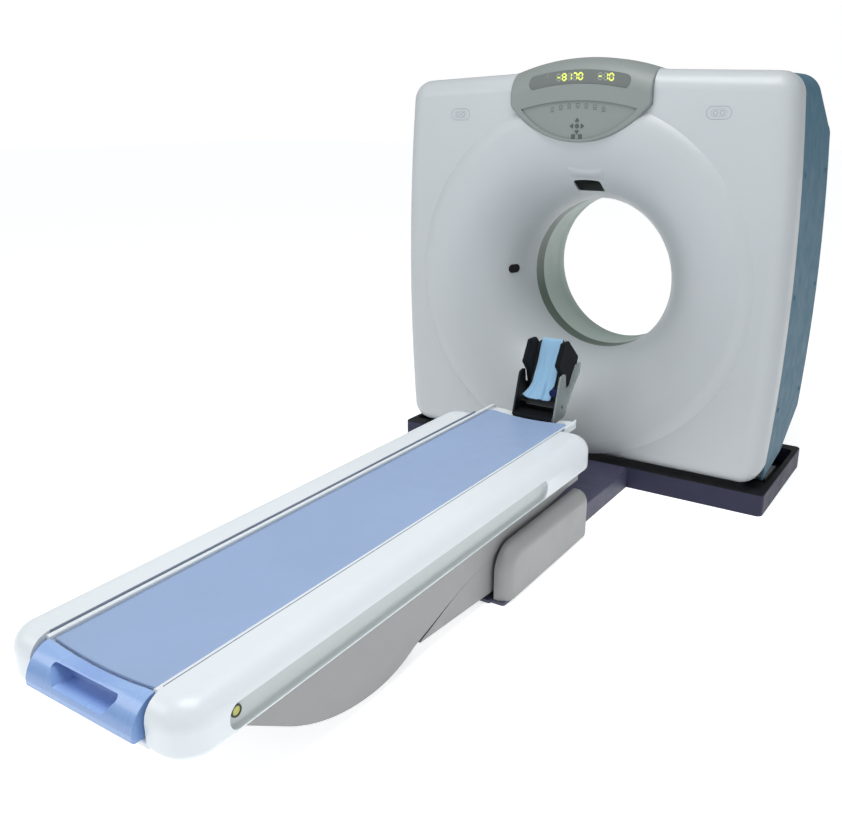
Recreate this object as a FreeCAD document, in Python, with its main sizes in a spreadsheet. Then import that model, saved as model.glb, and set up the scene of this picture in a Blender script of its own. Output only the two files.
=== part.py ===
import FreeCAD, Part
import math
import os

import Sketcher
from FreeCAD import Placement, Rotation, Vector

# CT scanner: an upright ring gantry that tilts on two floor stands, and a low patient table on a swing arm.
# Frame: +X to the right of someone at the table's foot end looking at the gantry, +Y from the table to the
# gantry's back, +Z up, origin on the floor below the middle of the whole machine. Lengths are in millimetres.

doc = FreeCAD.newDocument("ct_scanner")
sheet = doc.addObject("Spreadsheet::Sheet", "sizes")
pieces = []
sketch_planes = {}


class Dim:
    """A size that keeps both its value and the expression it is worked out from."""

    def __init__(self, value, text):
        self.value = float(value)
        self.text = text

    def join(self, other, sign, value):
        return Dim(value, f"({self.text} {sign} {other.text})")

    def __add__(self, other):
        other = dim(other)
        return self.join(other, "+", self.value + other.value)

    def __sub__(self, other):
        other = dim(other)
        return self.join(other, "-", self.value - other.value)

    def __mul__(self, other):
        other = dim(other)
        return self.join(other, "*", self.value * other.value)

    def __truediv__(self, other):
        other = dim(other)
        return self.join(other, "/", self.value / other.value)

    def __radd__(self, other):
        return dim(other) + self

    def __rsub__(self, other):
        return dim(other) - self

    def __rmul__(self, other):
        return dim(other) * self

    def __rtruediv__(self, other):
        return dim(other) / self

    def __neg__(self):
        return Dim(-self.value, f"(-1 * {self.text})")


def dim(thing):
    """Takes a plain number as a size."""
    return thing if isinstance(thing, Dim) else Dim(thing, repr(float(thing)))


def root(thing):
    """Square root of a size."""
    return Dim(math.sqrt(thing.value), f"sqrt({thing.text})")


def sine(angle):
    """Sine of an angle in degrees."""
    return Dim(math.sin(math.radians(angle.value)), f"sin({angle.text})")


def cosine(angle):
    """Cosine of an angle in degrees."""
    return Dim(math.cos(math.radians(angle.value)), f"cos({angle.text})")


def size(alias, value):
    """Writes one driving dimension into the sheet and returns it."""
    row = len(sheet_rows) + 1
    sheet_rows.append(alias)
    sheet.set(f"A{row}", alias)
    sheet.set(f"B{row}", str(value))
    sheet.setAlias(f"B{row}", alias)
    return Dim(value, f"sizes.{alias}")


sheet_rows = []

# Gantry envelope, seen from the front
isocentre = size("isocentre_height", 895)
half_middle = size("cover_half_width", 899)
bow_level = size("cover_widest_height", 860)
bow_round = size("cover_side_radius", 9000)
cover_low = size("cover_bottom_height", 113)
shoulder = size("cover_shoulder_height", 1762)
hump_foot = size("hump_foot_height", 1783)
hump_top = size("hump_top_height", 1838)
hump_half = size("hump_half_width", 322)
corner_round = size("cover_corner_radius", 92)
edge_round = size("cover_edge_radius", 74)
hump_blend = size("hump_blend_radius", 160)
wall = size("cover_wall", 6)

# Gantry, front to back
bore_radius = size("bore_radius", 350)
rim_foot = size("rim_foot_radius", 780)
rim_crest = size("rim_crest_radius", 722)
rim_proud = size("rim_proud", 18)
rim_lip = size("rim_lip_depth", 90)
horn_ease = size("horn_ease", 23)
bore_front = size("bore_front_depth", 347)
window_width = size("scan_window_width", 80)
liner_width = size("liner_width", 149)
front_depth = size("front_cover_depth", 131)
side_depth = size("side_cover_depth", 469)
gantry_depth = size("gantry_depth", 860)
ring_wall = size("bore_ring_wall", 6)
flare_radius = size("rear_flare_radius", 490)
rear_half = size("rear_face_half_width", 705)
rear_top = size("rear_face_top_height", 1545)
rear_low = size("rear_face_bottom_height", 372)
back_top = size("back_shoulder_height", 1610)
back_low = size("back_bottom_height", 330)
slope_start = size("top_slope_start", 400)
belly_start = size("belly_slope_start", 425)
belly_height = size("belly_start_height", 165)

laser_angle_top = size("laser_angle_top", 35)
laser_half_angle = size("laser_window_half_angle", 7)
laser_angle_side = size("laser_angle_side", 27)
laser_half = size("laser_window_half_width", 64)
laser_corner = size("laser_window_corner", 12)
laser_spot_half = size("laser_spot_half_height", 20)
laser_spot_reach = size("laser_spot_half_length", 31)
laser_spot_rise = size("laser_spot_rise", 14)
laser_thick = size("laser_window_thickness", 3)
laser_lift = size("laser_window_lift", 0.7)
laser_gap = size("laser_window_gap", 0.3)

# Control panel on the front cover
panel_half = size("panel_half_width", 316)
panel_side_low = size("panel_side_low_height", 1650)
panel_low = size("panel_bottom_height", 1500)
panel_proud = size("panel_proud", 24)
panel_wall = size("panel_wall", 12)
panel_gap = size("panel_gap", 0.6)
seam = size("cover_seam", 0.6)
panel_round = size("panel_edge_radius", 9)
slot_half = size("display_half_width", 234)
slot_height = size("display_height", 56)
slot_rise = size("display_rise", 22)
slot_level = size("display_level", 1738)
slot_depth = size("display_recess", 9)
lens_half = size("keypad_half_width", 262)
lens_top = size("keypad_top_height", 1668)
lens_side = size("keypad_side_height", 1634)
lens_low = size("keypad_bottom_height", 1513)
lens_depth = size("keypad_recess", 7)
key_level = size("key_cluster_height", 1566)
key_pitch = size("key_pitch", 23)
key_size = size("key_half_size", 10)
key_gap = size("key_gap", 0.4)
key_proud = size("key_proud", 3)
key_length = size("key_length", 12)
key_drop = size("lower_key_drop", 41)
key_spread = size("lower_key_spread", 16)

# Base of the gantry and its stands
base_half = size("base_half_width", 908)
base_depth = size("base_depth", 700)
base_back_half = size("base_back_half_width", 903)
base_height = size("base_height", 95)
base_floor = size("base_floor_thickness", 25)
base_side = size("base_side_wall", 22)
base_front_beam = size("base_front_beam", 74)
base_back_beam = size("base_back_beam", 62)
anchor_radius = size("anchor_hole_radius", 9)
anchor_half_x = size("anchor_half_spacing_x", 700)
anchor_half_y = size("anchor_half_spacing_y", 220)
stand_inner = size("stand_inner_face", 741)
stand_thick = size("stand_thickness", 55)
stand_front = size("stand_front_reach", 35)
stand_back_top = size("stand_back_reach_top", 80)
stand_back_low = size("stand_back_reach_low", 74)
stand_foot = size("stand_foot_thickness", 14)
boss_radius = size("stand_boss_radius", 84)
trunnion_radius = size("trunnion_radius", 40)
running_gap = size("running_gap", 0.05)
tilt_depth = size("tilt_axis_depth", 387)

# Rotating ring and what carries it
frame_plate_front = size("frame_plate_front", 602)
frame_plate_thick = size("frame_plate_thickness", 30)
frame_half = size("frame_half_width", 735)
arm_thick = size("frame_arm_thickness", 34)
frame_tall = size("frame_half_height", 535)
frame_bore_gap = size("frame_bore_gap", 0.817)
throat = bore_front + window_width + liner_width
flare_run = gantry_depth - throat
flare_climb = flare_radius - bore_radius
flare_sweep = (flare_run * flare_run + flare_climb * flare_climb) / (flare_climb * 2)
plate_reach = frame_plate_front + frame_plate_thick - throat
flare_outer = flare_sweep - wall
flare_rise = flare_outer - root(flare_outer * flare_outer - plate_reach * plate_reach)
frame_bore = bore_radius + wall + flare_rise + frame_bore_gap
frame_recess = bore_radius + size("frame_recess_margin", 78)
drum_bore = bore_radius + size("drum_bore_margin", 26)
bearing_gap_radius = drum_bore + size("bearing_inner_width", 36)
bearing_outer_radius = bearing_gap_radius + size("bearing_outer_width", 40)
bearing_width = size("bearing_width", 46)
drum_radius = size("drum_radius", 668)
drum_thick = size("drum_thickness", 26)
drum_front = size("drum_front_depth", 505)
tube_radius = size("tube_radius", 88)
tube_length = size("tube_length", 230)
tube_reach = size("tube_reach", 545)
detector_inner = size("detector_inner_radius", 540)
detector_outer = size("detector_outer_radius", 640)
detector_fan = size("detector_half_fan", 28)

# Table: side rails, cradle and pad
table_near = size("table_foot_reach", 2605)
table_far = size("table_head_gap", 452)
rail_half = size("rail_outer_half_width", 342)
rail_inner = size("rail_inner_half_width", 212)
rail_top = size("rail_top_height", 400)
rail_low = size("rail_bottom_height", 267)
rail_corner = size("rail_corner_radius", 84)
rail_shoulder = size("rail_shoulder_radius", 62)
rail_hem = size("rail_hem_radius", 16)
rail_wall = size("rail_wall", 6)
groove_near = size("rail_groove_near", 2472)
groove_far = size("rail_groove_far", 870)
groove_low = size("rail_groove_bottom", 279)
groove_high = size("rail_groove_top", 350)
groove_cove = size("rail_groove_cove_radius", 13)
groove_depth = size("rail_groove_depth", 15)
cradle_half = size("cradle_half_width", 208)
cradle_lip = size("cradle_lip_width", 15)
cradle_near = size("cradle_foot_reach", 2556)
cradle_tip_round = size("cradle_tip_radius", 60)
guide_wall = size("cradle_guide_wall", 7.5)
frame_floor = size("table_frame_floor", 8)
cradle_far = size("cradle_tip_gap", 300)
cradle_flange = size("cradle_flange_height", 366)
cradle_belly = size("cradle_belly_height", 340)
lip_height = size("cradle_lip_height", 396)
pad_half = size("pad_half_width", 189)
pad_near = size("pad_foot_reach", 2545)
pad_far = size("pad_tip_gap", 372)
pad_edge = size("pad_edge_height", 393)
pad_sag = size("pad_sag", 15)
pad_thick = size("pad_thickness", 14)
pad_round = size("pad_edge_radius", 5)
soft_gap = size("soft_seat_gap", 0.3)
slide_gap = size("slide_gap", 0.3)
handle_half = size("handle_half_width", 197)
handle_reach = size("handle_foot_reach", 2632)
handle_low = size("handle_bottom_height", 292)
handle_top = size("handle_top_height", 389)

# Swing arm under the table
pivot_back = size("arm_pivot_gap", 800)
pivot_height = size("arm_pivot_height", 120)
arm_reach = size("arm_reach", 1100)
arm_rise = size("arm_rise_at_rest", 77)
arm_shaft_radius = size("arm_shaft_radius", 30)
level_shaft_radius = size("level_shaft_radius", 25)
arm_plate_inner = size("arm_plate_inner", 228)
arm_plate_thick = size("arm_plate_thickness", 22)
ear_inner = size("ear_inner", 258)
ear_thick = size("ear_thickness", 26)
link_drop = size("link_drop", 55)
link_half = size("link_half_width", 17)
boat_half = size("boat_half_width", 305)
boat_wall = size("boat_wall", 6)
spine_half = size("spine_half_width", 313)
pivot_cover_inner = size("pivot_cover_inner_face", 316)
pivot_cover_outer = size("pivot_cover_outer_face", 372)
pivot_cover_near = size("pivot_cover_foot_end", 1215)
pivot_cover_far = size("pivot_cover_head_end", 540)
pivot_cover_top = size("pivot_cover_top", 205)
pivot_round = size("pivot_cover_shoulder_radius", 46)
plate_thick = size("table_plate_thickness", 12)

# Head holder on the cradle's tip
head_shift = size("head_holder_offset", 12)
bracket_half = size("bracket_half_width", 100)
bracket_wall = size("bracket_wall", 8)
board_half = size("board_half_width", 66)
board_lean = size("board_lean", 22)
board_length = size("board_length", 275)
board_thick = size("board_thickness", 10)
wing_thick = size("wing_thickness", 4)
side_pad_thick = size("side_pad_thickness", 22)
hinge_gap = size("hinge_gap", 285)
hinge_height = size("hinge_height", 425)
knob_radius = size("knob_radius", 18)
knob_x = size("knob_x", 72)
knob_z = size("knob_height", 490)
knob_seat = size("knob_lug_face_gap", 303)
pin_radius = size("link_pin_radius", 12)
duct_wall = size("duct_wall", 5)
spine_reach = size("spine_reach", 684)

# World depth of the plane of the gantry's front face, so that the machine's middle lies at the origin
front_plane = (handle_reach - gantry_depth) / 2


# ---------------------------------------------------------------- drawing and feature helpers

NORMAL_SIGN = {"XY": 1, "XZ": -1, "YZ": 1}
ARC = "arc"


def bind(thing, prop, value):
    """Sets a property from a size, as an expression where it depends on the sheet."""
    value = dim(value)
    setattr(thing, prop, value.value)
    if "sizes." in value.text:
        thing.setExpression(prop, value.text)


def seat(thing, x=0, y=0, z=0, turn=None):
    """Places a piece: x from the mid-plane, y from the plane of the gantry's front, z from the floor."""
    spot = [dim(x), front_plane + y, dim(z)]
    thing.Placement = Placement(Vector(*[value.value for value in spot]), turn or Rotation())
    for axis, value in zip("xyz", spot):
        if "sizes." in value.text:
            thing.setExpression(f"Placement.Base.{axis}", value.text)


def new_body(label, x=0, y=0, z=0, turn=None):
    """Starts a sub-part made of sketched features."""
    body = doc.addObject("PartDesign::Body", label)
    body.Label = label
    seat(body, x, y, z, turn)
    pieces.append(body)
    return body


def arc_between(start, end, radius):
    """Centre of the minor arc from start to end; a positive radius turns left."""
    chord = end - start
    half = chord.Length / 2
    rise = math.sqrt(max(radius * radius - half * half, 0))
    side = Vector(-chord.y, chord.x, 0) / chord.Length
    return (start + end) / 2 + side * math.copysign(rise, radius)


class Loop:
    """A closed outline: corners (u, v) or (u, v, rounding), with [ARC, radius] between two joined by an arc."""

    def __init__(self, *steps):
        self.corners = []
        self.bows = []
        for step in steps:
            if step[0] == ARC:
                self.bows[-1] = dim(step[1])
            else:
                self.corners.append([dim(value) for value in step])
                self.bows.append(None)

    def add_to(self, sketch):
        count = len(self.corners)
        spots = [Vector(corner[0].value, corner[1].value, 0) for corner in self.corners]
        rounds = [corner[2] if len(corner) > 2 else None for corner in self.corners]
        enter, leave = [], []
        for i, spot in enumerate(spots):
            if rounds[i] is None:
                enter.append(spot)
                leave.append(spot)
                continue
            back = (spots[i - 1] - spot).normalize()
            ahead = (spots[(i + 1) % count] - spot).normalize()
            setback = rounds[i].value / math.tan(back.getAngle(ahead) / 2)
            enter.append(spot + back * setback)
            leave.append(spot + ahead * setback)
        edges = []
        for i in range(count):
            start, end, bow = leave[i], enter[(i + 1) % count], self.bows[i]
            if bow is None:
                edges.append((sketch.addGeometry(Part.LineSegment(start, end), False), 1, 2))
            else:
                edges.append(add_arc(sketch, start, end, bow.value))
                hold(sketch, "Radius", [edges[-1][0]], Dim(abs(bow.value), f"abs({bow.text})"))
        for i in range(count):
            before, after = edges[i - 1], edges[i]
            across, up = self.corners[i][0], self.corners[i][1]
            if rounds[i] is None:
                joint = Sketcher.Constraint("Coincident", before[0], before[2], after[0], after[1])
                sketch.addConstraint(joint)
                hold(sketch, "DistanceX", [after[0], after[1]], across)
                hold(sketch, "DistanceY", [after[0], after[1]], up)
                continue
            turn = (spots[i] - spots[i - 1]).cross(spots[(i + 1) % count] - spots[i]).z
            curve = add_arc(sketch, enter[i], leave[i], math.copysign(rounds[i].value, turn))
            point = sketch.addGeometry(Part.Point(spots[i]), True)
            sketch.addConstraint(
                [
                    Sketcher.Constraint("Tangent", before[0], before[2], curve[0], curve[1]),
                    Sketcher.Constraint("Tangent", curve[0], curve[2], after[0], after[1]),
                    Sketcher.Constraint("PointOnObject", point, 1, before[0]),
                    Sketcher.Constraint("PointOnObject", point, 1, after[0]),
                ]
            )
            hold(sketch, "Radius", [curve[0]], rounds[i])
            hold(sketch, "DistanceX", [point, 1], across)
            hold(sketch, "DistanceY", [point, 1], up)


class Circle:
    """A full circle."""

    def __init__(self, across, up, radius):
        self.across, self.up, self.radius = dim(across), dim(up), dim(radius)

    def add_to(self, sketch):
        centre = Vector(self.across.value, self.up.value, 0)
        ring = sketch.addGeometry(Part.Circle(centre, Vector(0, 0, 1), self.radius.value), False)
        hold(sketch, "DistanceX", [ring, 3], self.across)
        hold(sketch, "DistanceY", [ring, 3], self.up)
        hold(sketch, "Radius", [ring], self.radius)


def add_arc(sketch, start, end, radius):
    """Adds the minor arc; returns its index and which of its ends come first and last in travel."""
    centre = arc_between(start, end, radius)
    first, last = (start, end) if radius > 0 else (end, start)
    angle_a = math.atan2(first.y - centre.y, first.x - centre.x)
    angle_b = math.atan2(last.y - centre.y, last.x - centre.x)
    ring = Part.Circle(centre, Vector(0, 0, 1), abs(radius))
    index = sketch.addGeometry(Part.ArcOfCircle(ring, angle_a, angle_b), False)
    return (index, 1, 2) if radius > 0 else (index, 2, 1)


def hold(sketch, kind, where, value):
    """Adds one dimension to a sketch and ties it to the sheet."""
    index = sketch.addConstraint(Sketcher.Constraint(kind, *where, value.value))
    if "sizes." in value.text:
        sketch.setExpression(f"Constraints[{index}]", value.text)


def box_loop(left, right, low, high, rounding):
    """A rectangle with rounded corners."""
    corners = ((left, low), (right, low), (right, high), (left, high))
    return Loop(*[(across, up, rounding) for across, up in corners])


def draw(body, plane, *loops, level=0):
    """Draws outlines on an origin plane of the body, moved by level along the axis across that plane."""
    sketch = body.newObject("Sketcher::SketchObject", f"{body.Label}_{plane}")
    origin = [item for item in body.Origin.OriginFeatures if item.Role == f"{plane}_Plane"][0]
    sketch.AttachmentSupport = (origin, [""])
    sketch.MapMode = "FlatFace"
    offset = dim(level) * NORMAL_SIGN[plane]
    sketch.AttachmentOffset = Placement(Vector(0, 0, offset.value), Rotation())
    if "sizes." in offset.text:
        sketch.setExpression("AttachmentOffset.Base.z", offset.text)
    for loop in loops:
        loop.add_to(sketch)
    sketch_planes[sketch.Name] = plane
    return sketch


def pad(body, sketch, length, way=1, both=False):
    """Extrudes a sketch; way is +1 or -1 along the axis across its plane, both is half each way."""
    feature = body.newObject("PartDesign::Pad", "Pad")
    feature.Profile = sketch
    feature.SideType = "Symmetric" if both else "One side"
    feature.Reversed = way * NORMAL_SIGN[sketch_planes[sketch.Name]] < 0
    bind(feature, "Length", length)
    return feature


def cut(body, sketch, length=None, way=1, both=False):
    """Cuts a sketch into the body, through all of it where no length is given."""
    before = volume(body)
    feature = body.newObject("PartDesign::Pocket", "Pocket")
    feature.Profile = sketch
    feature.SideType = "Symmetric" if both else "One side"
    feature.Reversed = way * NORMAL_SIGN[sketch_planes[sketch.Name]] > 0
    if length is None:
        feature.Type = "ThroughAll"
    else:
        bind(feature, "Length", length)
    require_less(body, before)
    return feature


def turn_solid(body, sketch, axis="H_Axis", angle=360, both=False):
    """Adds a solid of revolution about the sketch's own horizontal or vertical axis."""
    feature = body.newObject("PartDesign::Revolution", "Revolution")
    feature.Profile = sketch
    feature.ReferenceAxis = (sketch, [axis])
    feature.Angle = angle
    feature.Midplane = both
    return feature


def turn_cut(body, sketch, axis="H_Axis", angle=360):
    """Cuts a solid of revolution out of the body."""
    before = volume(body)
    feature = body.newObject("PartDesign::Groove", "Groove")
    feature.Profile = sketch
    feature.ReferenceAxis = (sketch, [axis])
    feature.Angle = angle
    require_less(body, before)
    return feature


def mirror(body, plane, *features):
    """Repeats features on the other side of an origin plane of the body."""
    feature = body.newObject("PartDesign::Mirrored", "Mirrored")
    feature.Originals = list(features)
    origin = [item for item in body.Origin.OriginFeatures if item.Role == f"{plane}_Plane"][0]
    feature.MirrorPlane = (origin, [""])
    body.Tip = feature
    return feature


def volume(body):
    doc.recompute()
    return body.Shape.Volume


def require_less(body, before):
    if volume(body) >= before - 1e-3:
        raise ValueError(f"{body.Label}: a cut took nothing away")


def dress(body, kind, amount, pick):
    """Rounds or bevels the edges of the body so far that pick accepts."""
    doc.recompute()
    tip = body.Tip
    inverse = body.Placement.inverse()
    names = []
    for number, edge in enumerate(body.Shape.Edges, 1):
        if pick(Box(edge, inverse)):
            names.append(f"Edge{number}")
    if not names:
        raise ValueError(f"{body.Label}: no edge to dress")
    feature = body.newObject(f"PartDesign::{kind}", kind)
    feature.Base = (tip, names)
    bind(feature, "Radius" if kind == "Fillet" else "Size", amount)
    return feature


def round_edges(body, radius, pick):
    return dress(body, "Fillet", radius, pick)


class Box:
    """The extents of one edge or face in its body's own frame, for picking it by where it lies."""

    def __init__(self, shape, inverse):
        local = shape.copy()
        local.Placement = inverse.multiply(local.Placement)
        box = local.BoundBox
        self.low = {"x": box.XMin, "y": box.YMin, "z": box.ZMin}
        self.high = {"x": box.XMax, "y": box.YMax, "z": box.ZMax}

    def flat(self, axis, value):
        value = dim(value).value
        return abs(self.low[axis] - value) < 0.05 and abs(self.high[axis] - value) < 0.05

    def only(self, axis):
        return all(self.high[a] - self.low[a] < 0.05 for a in "xyz" if a != axis)

    def middle(self, axis):
        return (self.low[axis] + self.high[axis]) / 2


def shell(body, thickness, pick):
    """Hollows the body to a wall, open at the faces that pick accepts."""
    doc.recompute()
    tip = body.Tip
    inverse = body.Placement.inverse()
    names = [f"Face{n}" for n, face in enumerate(body.Shape.Faces, 1) if pick(Box(face, inverse))]
    feature = body.newObject("PartDesign::Thickness", "Thickness")
    feature.Base = (tip, names)
    feature.Mode = "Skin"
    feature.Join = "Intersection"
    feature.Reversed = True
    bind(feature, "Value", thickness)
    return feature


# ---------------------------------------------------------------- gantry covers


def bow_radius(length, rise):
    """Radius of the arc over a chord of this length that rises by this much."""
    return (length * length / 4 + rise * rise) / (rise * 2)


def side_x(height, inset=0):
    """Half width of the bowed side at a height above the floor."""
    reach = bow_round - inset
    rise = height - bow_level
    return half_middle - bow_round + root(reach * reach - rise * rise)


def front_outline(inset=0):
    """The gantry seen from the front: bowed sides, flat shoulders and a low hump in the middle."""
    low, top, foot, crest = cover_low + inset, shoulder - inset, hump_foot - inset, hump_top - inset
    hump = bow_radius(hump_half * 2, crest - foot)
    right = [(side_x(low, inset), low), (side_x(top, inset), top), (hump_half, foot)]
    right = [(across, up - isocentre) for across, up in right]
    left = [(-across, up) for across, up in reversed(right)]
    side = (ARC, bow_round - inset)
    return Loop(right[0], side, right[1], right[2], (ARC, hump), left[0], left[1], side, left[2])


def horn(offset=0):
    """The bore's trumpet mouth as two tangent arcs, crest to bore: points and radii, moved back by offset."""
    depth = bore_front + rim_proud
    first = depth - horn_ease
    spread = rim_crest - bore_radius - first
    second = (depth * depth + spread * spread - first * first) / (horn_ease * 2)
    centre_a = (bore_front, bore_radius + first)
    centre_b = (second - rim_proud, rim_crest)
    share = (first - offset) / (second - first)
    join = (
        centre_a[0] - (centre_b[0] - centre_a[0]) * share,
        centre_a[1] - (centre_b[1] - centre_a[1]) * share,
    )
    crest = (offset - rim_proud, rim_crest)
    mouth = (bore_front, bore_radius + offset)
    return crest, second - offset, join, first - offset, mouth


def rounded_front(body, depth, inset=0, start=0):
    """The solid block inside a front cover, with its rounded corners and front edge."""
    pad(body, draw(body, "XZ", front_outline(inset), level=start), depth)
    corner, blend = corner_round - inset, hump_blend + inset
    round_edges(body, corner, lambda e: e.only("y") and abs(e.middle("x")) > hump_half.value + 50)
    round_edges(body, blend, lambda e: e.only("y") and abs(abs(e.middle("x")) - hump_half.value) < 1)


def panel_outline(grow=0, top=None):
    """The control panel's outline on the front cover, up over the hump."""
    top = top if top is not None else hump_top - isocentre + 30
    side, low = panel_side_low - isocentre, panel_low - isocentre - grow
    half = panel_half + grow
    bow = bow_radius(half * 2, side - low)
    return Loop((half, top), (-half, top), (-half, side), (ARC, bow), (half, side))


def make_front_cover():
    """Moulded front shell with the proud ring and the trumpet down to the bore in one piece."""
    body = new_body("front_cover", z=isocentre)
    rounded_front(body, front_depth)
    round_edges(body, edge_round, lambda e: e.flat("y", 0))
    shell(body, wall, lambda f: f.flat("y", front_depth))
    clear = rim_foot - wall / 2
    turn_cut(body, draw(body, "YZ", Loop((-50, 0), (front_depth, 0), (front_depth, clear), (-50, clear))))
    crest, bow_b, join, bow_a, mouth = horn()
    crest_in, bow_b_in, join_in, bow_a_in, mouth_in = horn(wall)
    fall = rim_foot - rim_crest
    ridge = (fall * fall + rim_proud * rim_proud) / (rim_proud * 2)
    profile = Loop(
        crest,
        (ARC, bow_b),
        join,
        (ARC, bow_a),
        mouth,
        mouth_in,
        (ARC, -bow_a_in),
        join_in,
        (ARC, -bow_b_in),
        crest_in,
        (ARC, -(ridge - wall)),
        (wall / 2, rim_foot - wall),
        (rim_lip, rim_foot - wall),
        (rim_lip, rim_foot),
        (0, rim_foot),
        (ARC, ridge),
    )
    turn_solid(body, draw(body, "YZ", profile))
    open_low = cover_low - isocentre
    slot = Loop(
        (-stand_inner - stand_thick - 20, open_low - 10),
        (stand_inner + stand_thick + 20, open_low - 10),
        (stand_inner + stand_thick + 20, open_low + wall + 9),
        (-stand_inner - stand_thick - 20, open_low + wall + 9),
    )
    cut(body, draw(body, "XZ", slot, level=52), front_depth, 1)
    cut(body, draw(body, "XZ", panel_outline(panel_gap), level=-60), front_depth + 80, 1)
    near, far = laser_opening()
    window = box_loop(-laser_half, laser_half, near[0], far[0], laser_corner)
    cut(body, draw(body, "XY", window, level=far[1] - 20), near[1] - far[1] + 50, 1)


def make_side_cover(label, side):
    """One teal side cover: a bowed sheet that folds in under the top cover, lofted front to back."""
    body = new_body(label, z=isocentre)
    stations = [
        (front_depth + seam, shoulder, cover_low),
        (slope_start, shoulder, belly_height),
        (front_depth + side_depth, back_top, back_low),
    ]
    fold = half_middle - corner_round * 1.6
    sketches = []
    for depth, high, low in stations:
        outer_low, outer_top = side_x(low), side_x(high - corner_round)
        inner_low, inner_top = side_x(low, wall), side_x(high - corner_round, wall)
        outline = [
            (outer_low, low),
            (ARC, bow_round * side),
            (outer_top, high - corner_round),
            (ARC, corner_round * 1.05 * side),
            (outer_top - corner_round, high),
            (fold, high),
            (fold, high - wall),
            (outer_top - corner_round, high - wall),
            (ARC, (wall - corner_round * 1.05) * side),
            (inner_top, high - corner_round),
            (ARC, (wall - bow_round) * side),
            (inner_low, low),
        ]
        steps = [s if s[0] == ARC else (s[0] * side, s[1] - isocentre) for s in outline]
        sketches.append(draw(body, "XZ", Loop(*steps), level=depth))
    loft(body, sketches)


def loft(body, sketches, take_away=False):
    """Ruled loft through sketches of the same number of edges."""
    kind = "SubtractiveLoft" if take_away else "AdditiveLoft"
    feature = body.newObject(f"PartDesign::{kind}", kind)
    feature.Profile = sketches[0]
    feature.Sections = sketches[1:]
    feature.Ruled = True
    return feature


def make_top_cover():
    """Lid between the side covers: the front's hump fades out along it and it slopes down at the back."""
    body = new_body("top_cover", z=isocentre)
    edge = half_middle - corner_round * 1.6 - panel_gap
    stations = [
        (front_depth + seam, shoulder, hump_foot, hump_top),
        (slope_start, shoulder, shoulder + 6, shoulder + 16),
        (front_depth + side_depth, back_top, back_top + 2, back_top + 6),
    ]
    sketches = []
    for depth, high, foot, crest in stations:
        hump = bow_radius(hump_half * 2, crest - foot)
        outer = [(-edge, high), (-hump_half, foot), (hump_half, foot), (edge, high)]
        inner = [(across, up - wall) for across, up in reversed(outer)]
        points = [(across, up - isocentre) for across, up in outer + inner]
        loop = Loop(*points[:2], (ARC, -hump), *points[2:6], (ARC, hump), *points[6:])
        sketches.append(draw(body, "XZ", loop, level=depth))
    loft(body, sketches)


def make_rear_cover():
    """Tapered back shell with the flare that opens the bore towards the rear."""
    body = new_body("rear_cover", z=isocentre)
    start, back = front_depth + side_depth + seam, dim(gantry_depth)

    def ring(depth, half, high, low, inset, rounding):
        points = [
            (half - inset, low + inset, rounding),
            (half - inset, high - inset, rounding),
            (-half + inset, high - inset, rounding),
            (-half + inset, low + inset, rounding),
        ]
        return draw(body, "XZ", Loop(*[(p[0], p[1] - isocentre, p[2]) for p in points]), level=depth)

    wide = side_x(back_top - corner_round)
    near = ring(start, wide, back_top, back_low, 0, corner_round)
    far = ring(back, rear_half, rear_top, rear_low, 0, corner_round + 30)
    loft(body, [near, far])
    near_in = ring(start - 1, wide, back_top, back_low, wall, corner_round - wall)
    far_in = ring(back - wall, rear_half, rear_top, rear_low, wall, corner_round + 24)
    loft(body, [near_in, far_in], take_away=True)
    round_edges(body, edge_round / 3, lambda e: e.flat("y", gantry_depth))
    mouth = flare_radius - 2
    opening = Loop((throat - 20, 0), (back + 5, 0), (back + 5, mouth), (throat - 20, mouth))
    turn_cut(body, draw(body, "YZ", opening))
    profile = Loop(
        (throat, bore_radius),
        (ARC, flare_sweep),
        (back, flare_radius),
        (back, flare_radius + wall),
        (back - wall, flare_radius + wall),
        (ARC, -flare_outer),
        (throat, bore_radius + wall),
    )
    turn_solid(body, draw(body, "YZ", profile))
    low = back_low - isocentre
    gate = box_loop(-stand_inner - 70, stand_inner + 70, low - 5, low + 42, 4)
    cut(body, draw(body, "XZ", gate, level=start - 10), gantry_depth - start - 20, 1)


def make_bore_rings():
    """The dark scan window and the pale liner behind it, which line the bore."""
    stations = {
        "scan_window": (bore_front, window_width),
        "bore_liner": (bore_front + window_width, liner_width),
    }
    for label, (start, width) in stations.items():
        body = new_body(label, y=start, z=isocentre)
        rings = draw(body, "XZ", Circle(0, 0, bore_radius + ring_wall), Circle(0, 0, bore_radius))
        pad(body, rings, width)


def horn_spot(angle):
    """Depth and radius of the point of the trumpet's wide arc where its surface has turned by angle."""
    crest, second = horn()[:2]
    return crest[0] + second * (1 - sine(angle)), crest[1] - second * cosine(angle)


def laser_opening():
    """Near and far edge of the overhead window on the trumpet: depth and height above the axis."""
    return horn_spot(laser_angle_top + laser_half_angle), horn_spot(laser_angle_top - laser_half_angle)


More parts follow.
